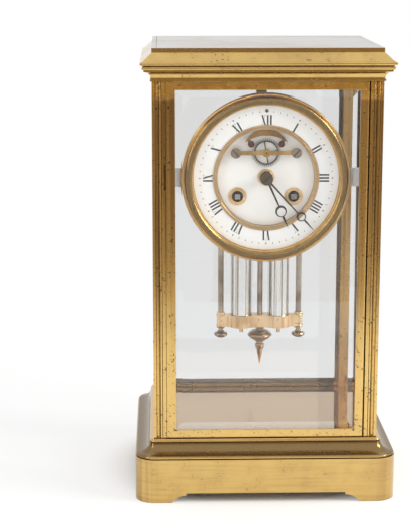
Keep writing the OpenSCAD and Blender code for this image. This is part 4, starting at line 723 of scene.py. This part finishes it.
class CLOCK_OT_numerals(bpy.types.Operator):
    """Paints the twelve roman numerals round the chapter ring"""

    bl_idname = "clock.numerals"
    bl_label = "Numerals"

    def execute(self, context):
        d = context.scene.clock_dial
        mesh = bmesh.new()
        for hour, word in enumerate(HOURS):
            turn = hour * TURN / len(HOURS)
            for x_top, x_foot, width, foot, top in numeral_strokes(word, d):
                flat = (
                    (x_foot - width / 2, foot), (x_foot + width / 2, foot),
                    (x_top + width / 2, top), (x_top - width / 2, top),
                )
                corners = [on_dial(x, d.numeral_in + share * d.numeral_h, turn) for x, share in flat]
                add_stroke(mesh, corners, DIAL.y - d.paint, DIAL.y + d.paint / 2)
        piece = mesh_piece("numerals", mesh, matt_coat("numeral_black", d.ink, tint(d.ink, 3)))
        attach(piece, "case")
        return {"FINISHED"}


class NodeSheet:
    """A geometry node tree, with its nodes added one by one."""

    def __init__(self, name, inputs):
        self.tree = bpy.data.node_groups.new(name, "GeometryNodeTree")
        self.tree.interface.new_socket("Geometry", in_out="OUTPUT", socket_type="NodeSocketGeometry")
        self.ids = {}
        for label, kind in inputs.items():
            made = self.tree.interface.new_socket(label, in_out="INPUT", socket_type=kind)
            self.ids[label] = made.identifier
        self.given = self.tree.nodes.new("NodeGroupInput").outputs

    def add(self, kind, settings=None, links=None):
        """Adds a node, sets its settings, fills its sockets and gives its outputs."""
        made = self.tree.nodes.new(kind)
        for key, value in (settings or {}).items():
            setattr(made, key, value)
        for key, value in (links or {}).items():
            if isinstance(value, bpy.types.NodeSocket):
                self.tree.links.new(value, made.inputs[key])
            else:
                made.inputs[key].default_value = value
        return made.outputs

    def end(self, geometry):
        """Hands the geometry out of the tree."""
        self.add("NodeGroupOutput", {}, {0: geometry})


def minute_track_tree():
    """Marks round a circle in the dial's plane: a short stroke each minute and a lozenge each fifth."""
    sheet = NodeSheet("Minute track", {
        "Centre": "NodeSocketVector", "Radius": "NodeSocketFloat", "Marks": "NodeSocketInt",
        "Dot": "NodeSocketFloat", "Five": "NodeSocketFloat", "Thickness": "NodeSocketFloat",
        "Paint": "NodeSocketMaterial",
    })
    given = sheet.given
    ring = sheet.add("GeometryNodeMeshCircle", {}, {"Vertices": given["Marks"], "Radius": given["Radius"]})
    index = sheet.add("GeometryNodeInputIndex")[0]
    place = sheet.add("ShaderNodeMath", {"operation": "MODULO"}, {0: index, 1: 5.0})[0]
    is_five = sheet.add("ShaderNodeMath", {"operation": "LESS_THAN"}, {0: place, 1: 0.5})[0]
    is_one = sheet.add("ShaderNodeMath", {"operation": "SUBTRACT"}, {0: 1.0, 1: is_five})[0]
    share = sheet.add("ShaderNodeMath", {"operation": "DIVIDE"}, {0: index, 1: given["Marks"]})[0]
    angle = sheet.add("ShaderNodeMath", {"operation": "MULTIPLY"}, {0: share, 1: TURN})[0]
    turn = sheet.add("ShaderNodeCombineXYZ", {}, {"Z": angle})[0]
    stroke, lozenge = (1.7, 0.6, 1), (1, 0.62, 1)
    groups = []
    for radius, sides, chosen, scale in (("Dot", 10, is_one, stroke), ("Five", 4, is_five, lozenge)):
        mark = sheet.add("GeometryNodeMeshCylinder", {}, {
            "Vertices": sides, "Radius": given[radius], "Depth": given["Thickness"]})
        groups.append(sheet.add("GeometryNodeInstanceOnPoints", {}, {
            "Points": ring[0], "Selection": chosen, "Instance": mark[0], "Rotation": turn, "Scale": scale})[0])
    joined = sheet.tree.nodes.new("GeometryNodeJoinGeometry")
    for group in groups:
        sheet.tree.links.new(group, joined.inputs[0])
    stood = sheet.add("GeometryNodeTransform", {}, {
        "Geometry": joined.outputs[0], "Translation": given["Centre"], "Rotation": (TURN / 4, 0, 0)})
    real = sheet.add("GeometryNodeRealizeInstances", {}, {0: stood[0]})
    painted = sheet.add("GeometryNodeSetMaterial", {}, {"Geometry": real[0], "Material": given["Paint"]})
    sheet.end(painted[0])
    return sheet


def grown(name, sheet, values):
    """A plain mesh piece made by a geometry node tree with these inputs."""
    holder = bpy.data.objects.new(name + "_tree", bpy.data.meshes.new(name + "_tree"))
    bpy.context.scene.collection.objects.link(holder)
    modifier = holder.modifiers.new("Grow", "NODES")
    modifier.node_group = sheet.tree
    for label, value in values.items():
        modifier[sheet.ids[label]] = value
    bpy.context.view_layer.update()
    seen = holder.evaluated_get(bpy.context.evaluated_depsgraph_get())
    data = bpy.data.meshes.new_from_object(seen)
    data.name = name
    bpy.data.objects.remove(holder)
    piece = bpy.data.objects.new(name, data)
    bpy.context.scene.collection.objects.link(piece)
    return piece


class CLOCK_OT_minute_track(bpy.types.Operator):
    """Paints the minute marks round the edge of the chapter ring"""

    bl_idname = "clock.minute_track"
    bl_label = "Minute track"

    def execute(self, context):
        d = context.scene.clock_dial
        piece = grown("minute_track", minute_track_tree(), {
            "Centre": DIAL[:], "Radius": d.track_r, "Marks": d.minutes, "Dot": d.dot_r, "Five": d.five_r,
            "Thickness": 2 * d.paint, "Paint": bpy.data.materials["numeral_black"],
        })
        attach(piece, "case")
        return {"FINISHED"}


class CLOCK_OT_hands(bpy.types.Operator):
    """Gives the hands blue-black steel"""

    bl_idname = "clock.hands"
    bl_label = "Hands"

    def execute(self, context):
        m = context.scene.clock_metals
        dress(blued("blued_steel", m.blued, m.blued_shade), "minute_hand", "hour_hand")
        return {"FINISHED"}


class CLOCK_OT_movement(bpy.types.Operator):
    """Gives the plates, trains, screws and bell their metals"""

    bl_idname = "clock.movement"
    bl_label = "Movement"

    def execute(self, context):
        m = context.scene.clock_metals
        # The plates take painted shade 9 mm deep and the winding arbors 10 mm deep, which darkens the winding
        # holes.
        movement = turned_metal("movement_brass", m.plate, m.plate_shade, rough=0.24, grain=2.0, depth=9.0)
        steel = turned_metal("grey_steel", m.steel, m.steel_shade, rough=0.26, grain=1.5)
        winding = turned_metal("winding_steel", m.steel, m.steel_shade, rough=0.26, grain=1.5, depth=10.0)
        # The reach sets how far the painted shade round the screws spreads.
        nut = slotted_steel("nut_steel", tint(m.screw, 0.35), tint(m.brown, 0.6), reach=1 * MM)
        screws = slotted_steel("screw_steel", m.screw, m.brown, reach=3 * MM)
        dress(movement, *PLATE_NODES, *WHEEL_NODES)
        dress(steel, *STEEL_NODES)
        dress(winding, *WINDING_NODES)
        dress(nut, "hand_nut")
        dress(screws, "movement_screws")
        dress(matt_coat("silvered_brass", m.silver, m.silver_shade), "movement_brackets")
        dress(turned_metal("bell_metal", m.gilt, m.gilt_shade, rough=0.1), "bell")
        return {"FINISHED"}


class CLOCK_OT_escapement(bpy.types.Operator):
    """Gives the visible escapement its brass and red stones"""

    bl_idname = "clock.escapement"
    bl_label = "Escapement"

    def execute(self, context):
        m, g = context.scene.clock_metals, context.scene.clock_glass
        bridge = turned_metal("escapement_brass", m.bronze, m.bezel_shade, rough=0.2, grain=1.5)
        anchor = turned_metal("anchor_brass", m.bronze, tint(m.bronze, 0.5), rough=0.2, grain=1.5)
        wheel = turned_metal("escape_bronze", m.escape, tint(m.escape, 0.6), rough=0.3, grain=1.5)
        dress(bridge, "escapement_bridge")
        dress(anchor, "anchor")
        dress(wheel, "escape_wheel")
        dress(dark_stone("pallet_stone", g.stone, g.stone_glint), "pallets")
        return {"FINISHED"}


class CLOCK_OT_pendulum(bpy.types.Operator):
    """Gives the pendulum its rods, gilt mounts, jars and mercury"""

    bl_idname = "clock.pendulum"
    bl_label = "Pendulum"

    def execute(self, context):
        m, g = context.scene.clock_metals, context.scene.clock_glass
        rods = turned_metal("rod_steel", m.rod, m.rod_shade, rough=0.2, grain=1.5)
        cradle = turned_metal("cradle_gilt", m.gilt, m.gilt_shade, rough=0.2)
        knobs = turned_metal("knob_brass", m.knob, m.rod_shade, rough=0.2, depth=2.5)
        dress(rods, "pendulum_frame")
        dress(cradle, "pendulum_cradle")
        dress(knobs, "pendulum_knobs")
        dress(clear_glass("jar_glass", g.jar, g.smear), "mercury_jars")
        dress(quicksilver("mercury_silver", m.mercury, m.tarnish), "mercury")
        return {"FINISHED"}


# The pendulum's beads, in millimetres: distance below the knobs' top, or above it for the rod ends, and radius.
FINIAL_BEADS = ((0.8, 2.9), (3.9, 5.6), (6.2, 8.0), (8.3, 6.0), (10.4, 3.1), (15.2, 2.6))
KNOB_BEADS = ((0.7, 2.3), (3.3, 1.7))
END_BEADS = ((0.5, 2.8), (8.2, 2.9), (9.9, 2.3))


def add_ring(mesh, centre, radius, bead):
    """Adds a round bead that runs round an upright axis."""
    turns, sides = 40, 10
    loops = []
    for i in range(turns):
        around = i * TURN / turns
        loop = []
        for j in range(sides):
            over = j * TURN / sides
            r = radius + bead * math.cos(over)
            point = Vector((r * math.cos(around), r * math.sin(around), bead * math.sin(over)))
            loop.append(mesh.verts.new(centre + point))
        loops.append(loop)
    for i in range(turns):
        here, there = loops[i], loops[(i + 1) % turns]
        for j in range(sides):
            k = (j + 1) % sides
            mesh.faces.new((here[j], there[j], there[k], here[k]))


def rings_at(post, table, way, bead):
    """The rings of a table of beads round a post, up or down from it, as (centre, radius, bead's radius)."""
    return [(post + Vector((0, 0, way * drop * MM)), radius * MM, bead) for drop, radius in table]


def beads(name, rings, material):
    """A smooth piece of round beads on the pendulum."""
    mesh = bmesh.new()
    for centre, radius, bead in rings:
        add_ring(mesh, centre, radius, bead)
    for face in mesh.faces:
        face.smooth = True
    piece = mesh_piece(name, mesh, material)
    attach(piece, "pendulum")


class CLOCK_OT_pendulum_beads(bpy.types.Operator):
    """Turns the beads of the pendulum's finial, knobs and rod ends"""

    bl_idname = "clock.pendulum_beads"
    bl_label = "Pendulum beads"

    def execute(self, context):
        b = context.scene.clock_beads
        low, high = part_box("pendulum_knobs")
        middle = Vector(((low.x + high.x) / 2, (low.y + high.y) / 2, high.z))
        side = (high.x - low.x) / 2 - b.knob_r
        finial, ends = rings_at(middle, FINIAL_BEADS, -1, b.bead), []
        for x in (-side, side):
            post = middle + Vector((x, 0, 0))
            finial += rings_at(post, KNOB_BEADS, -1, b.bead)
            ends += rings_at(post, END_BEADS, 1, b.bead)
        beads("finial_beads", finial, bpy.data.materials["knob_brass"])
        beads("rod_end_beads", ends, bpy.data.materials["cradle_gilt"])
        return {"FINISHED"}


# The lamps' places and sizes in metres, and their colours.
KEY_PLACE, KEY_SIZE = (1.5, -0.55, 0.95), (0.8, 0.8)
FRONT_PLACE, FRONT_SIZE = (-0.1, -1.7, 0.6), (0.7, 0.7)
STRIP_PLACE, STRIP_SIZE = (-0.95, -0.75, 0.55), (0.18, 0.9)
WARM_LAMP, PALE_LAMP = (1.0, 0.985, 0.96), (1.0, 0.99, 0.97)
# The floor's half width, and the steps over which it fades to white round the clock and far from it.
FLOOR_REACH = 30.0
NEAR_FADE, FAR_FADE = (0.075, 0.12), (0.25, 0.75)
# The dark cards: half width, near and far edge, bottom, top, and place of the side ones with their back edge.
CARD_WIDE, CARD_NEAR, CARD_FAR = 4.0, -0.62, -2.4
CARD_LOW, CARD_TOP = 2 * MM, 0.9
SIDE_CARD_X, SIDE_CARD_BACK = 1.6, 0.1
WHITE = (1, 1, 1, 1)


def soft_light(name, place, aim, size, power, colour):
    """A rectangular lamp that points at a place."""
    lamp = bpy.data.lights.new(name, "AREA")
    lamp.shape = "RECTANGLE"
    lamp.size, lamp.size_y = size
    lamp.energy = power
    lamp.color = colour
    holder = bpy.data.objects.new(name, lamp)
    holder.location = place
    holder.rotation_euler = (Vector(aim) - Vector(place)).to_track_quat("-Z", "Y").to_euler()
    bpy.context.scene.collection.objects.link(holder)
    return holder


def sheet_piece(name, corners, material):
    """A flat stage piece through four corners."""
    data = bpy.data.meshes.new(name)
    data.from_pydata(corners, [], [(0, 1, 2, 3)])
    data.materials.append(material)
    piece = bpy.data.objects.new(name, data)
    bpy.context.scene.collection.objects.link(piece)
    return piece


class CLOCK_OT_stage(bpy.types.Operator):
    """Sets up the floor, light and camera"""

    bl_idname = "clock.stage"
    bl_label = "Stage"

    def execute(self, context):
        s = context.scene.clock_stage
        context.scene.view_settings.view_transform = "Standard"
        self.light_world(context.scene, s.sky)
        self.lay_floor(s)
        self.stand_cards(s)
        self.hang_lamps(s)
        self.stand_camera(context.scene, s)
        return {"FINISHED"}

    def light_world(self, scene, strength):
        """Soft light all round; the camera, mirrors and glass see plain white."""
        scene.world = bpy.data.worlds.new("Studio")
        f = Finish("Studio", scene.world)
        seen = [
            f.node("ShaderNodeLightPath", output=ray)
            for ray in ("Is Camera Ray", "Is Glossy Ray", "Is Transmission Ray")
        ]
        soft = f.node("ShaderNodeBackground", {}, {"Color": WHITE, "Strength": strength})
        white = f.node("ShaderNodeBackground", {}, {"Color": WHITE, "Strength": 1.0})
        mixed = f.node("ShaderNodeMixShader", {}, {0: seen[0] | seen[1] | seen[2], 1: soft, 2: white})
        f.end("ShaderNodeOutputWorld", mixed)

    def lay_floor(self, s):
        """A pale floor that fades to plain white away from the clock."""
        f = Finish("pale_floor")
        cloud = f.noise(3.0, 2.0)
        colour = f.layered(s.floor, ((cloud * 0.2, tint(s.floor, 0.985)),))
        matt = f.node("ShaderNodeBsdfDiffuse", {}, {"Color": colour})
        white = f.node("ShaderNodeEmission", {}, {"Color": WHITE, "Strength": 1.0})
        seen = f.node("ShaderNodeLightPath", output="Is Camera Ray")
        through = f.node("ShaderNodeLightPath", output="Is Transmission Ray")
        away = f.node("ShaderNodeVectorMath", {"operation": "LENGTH"}, {0: f.place()}, output="Value")
        share = s.lift * f.band(away, *NEAR_FADE) + (1 - s.lift) * f.band(away, *FAR_FADE)
        floor = f.shown(f.node("ShaderNodeMixShader", {}, {0: (seen | through) * share, 1: matt, 2: white}))
        r = FLOOR_REACH
        sheet_piece("floor", [(-r, -r, 0), (r, -r, 0), (r, r, 0), (-r, r, 0)], floor)

    def stand_cards(self, s):
        """Dark cards in front and at the sides, seen only by the metal that mirrors them."""
        f = Finish("dark_card")
        card = f.surface({
            "Base Color": f.layered(s.flag, ((f.noise(2.0, 2.0), tint(s.flag, 1.3)),)),
            "Roughness": 0.9,
            "Specular IOR Level": 0.0,
        })
        wide, near, far, back = CARD_WIDE, CARD_NEAR, CARD_FAR, SIDE_CARD_BACK
        low, top = CARD_LOW, CARD_TOP
        cards = {
            "front_flag": [(-wide, far, low), (wide, far, low), (wide, near, low), (-wide, near, low)],
            "back_flag": [(-wide, far, low), (wide, far, low), (wide, far, top), (-wide, far, top)],
        }
        for name, x in (("left_flag", -SIDE_CARD_X), ("right_flag", SIDE_CARD_X)):
            cards[name] = [(x, far, low), (x, back, low), (x, back, top), (x, far, top)]
        for name, corners in cards.items():
            piece = sheet_piece(name, corners, card)
            piece.visible_camera = False
            piece.visible_diffuse = False
            piece.visible_transmission = False
            piece.visible_shadow = False

    def hang_lamps(self, s):
        """A key light on the right, a weak one on the dial that no metal mirrors, and a strip on the left."""
        middle = (0, 0, CASE_TOP / 2)
        soft_light("key_light", KEY_PLACE, middle, KEY_SIZE, s.key, WARM_LAMP)
        front = soft_light("front_light", FRONT_PLACE, (*DIAL,), FRONT_SIZE, s.front, PALE_LAMP)
        front.visible_glossy = False
        soft_light("strip_light", STRIP_PLACE, middle, STRIP_SIZE, s.fill, PALE_LAMP)

    def stand_camera(self, scene, s):
        """The camera, level sideways, tilted down and turned a little."""
        lens = bpy.data.cameras.new("Camera")
        lens.lens = s.lens
        lens.sensor_width = s.sensor
        lens.sensor_fit = "AUTO"
        camera = bpy.data.objects.new("Camera", lens)
        camera.location = s.eye
        camera.rotation_euler = (math.pi / 2 - s.tilt, 0, -s.yaw)
        scene.collection.objects.link(camera)
        scene.camera = camera


OPERATORS = (
    CLOCK_OT_case, CLOCK_OT_panes, CLOCK_OT_dial_face, CLOCK_OT_numerals, CLOCK_OT_minute_track,
    CLOCK_OT_hands, CLOCK_OT_movement, CLOCK_OT_escapement, CLOCK_OT_pendulum,
    CLOCK_OT_pendulum_beads, CLOCK_OT_stage,
)
GROUPS = {
    "clock_metals": ClockMetals, "clock_dial": ClockDial, "clock_glass": ClockGlass,
    "clock_beads": ClockBeads, "clock_stage": ClockStage,
}


class CLOCK_PT_panel(bpy.types.Panel):
    """Lists the clock's pieces"""

    bl_idname = "CLOCK_PT_panel"
    bl_label = "Crystal regulator clock"
    bl_space_type = "VIEW_3D"
    bl_region_type = "UI"
    bl_category = "Clock"

    def draw(self, context):
        for operator in OPERATORS:
            self.layout.operator(operator.bl_idname)
        for name, group in GROUPS.items():
            box = self.layout.box()
            for key in group.__annotations__:
                box.prop(getattr(context.scene, name), key)


def register():
    for name, group in GROUPS.items():
        bpy.utils.register_class(group)
        setattr(bpy.types.Scene, name, PointerProperty(type=group))
    for kind in (*OPERATORS, CLOCK_PT_panel):
        bpy.utils.register_class(kind)


def unregister():
    for kind in (CLOCK_PT_panel, *reversed(OPERATORS)):
        bpy.utils.unregister_class(kind)
    for name, group in GROUPS.items():
        delattr(bpy.types.Scene, name)
        bpy.utils.unregister_class(group)


def main():
    register()
    for operator in OPERATORS:
        group, name = operator.bl_idname.split(".")
        getattr(getattr(bpy.ops, group), name)()


if __name__ == "__main__":
    main()
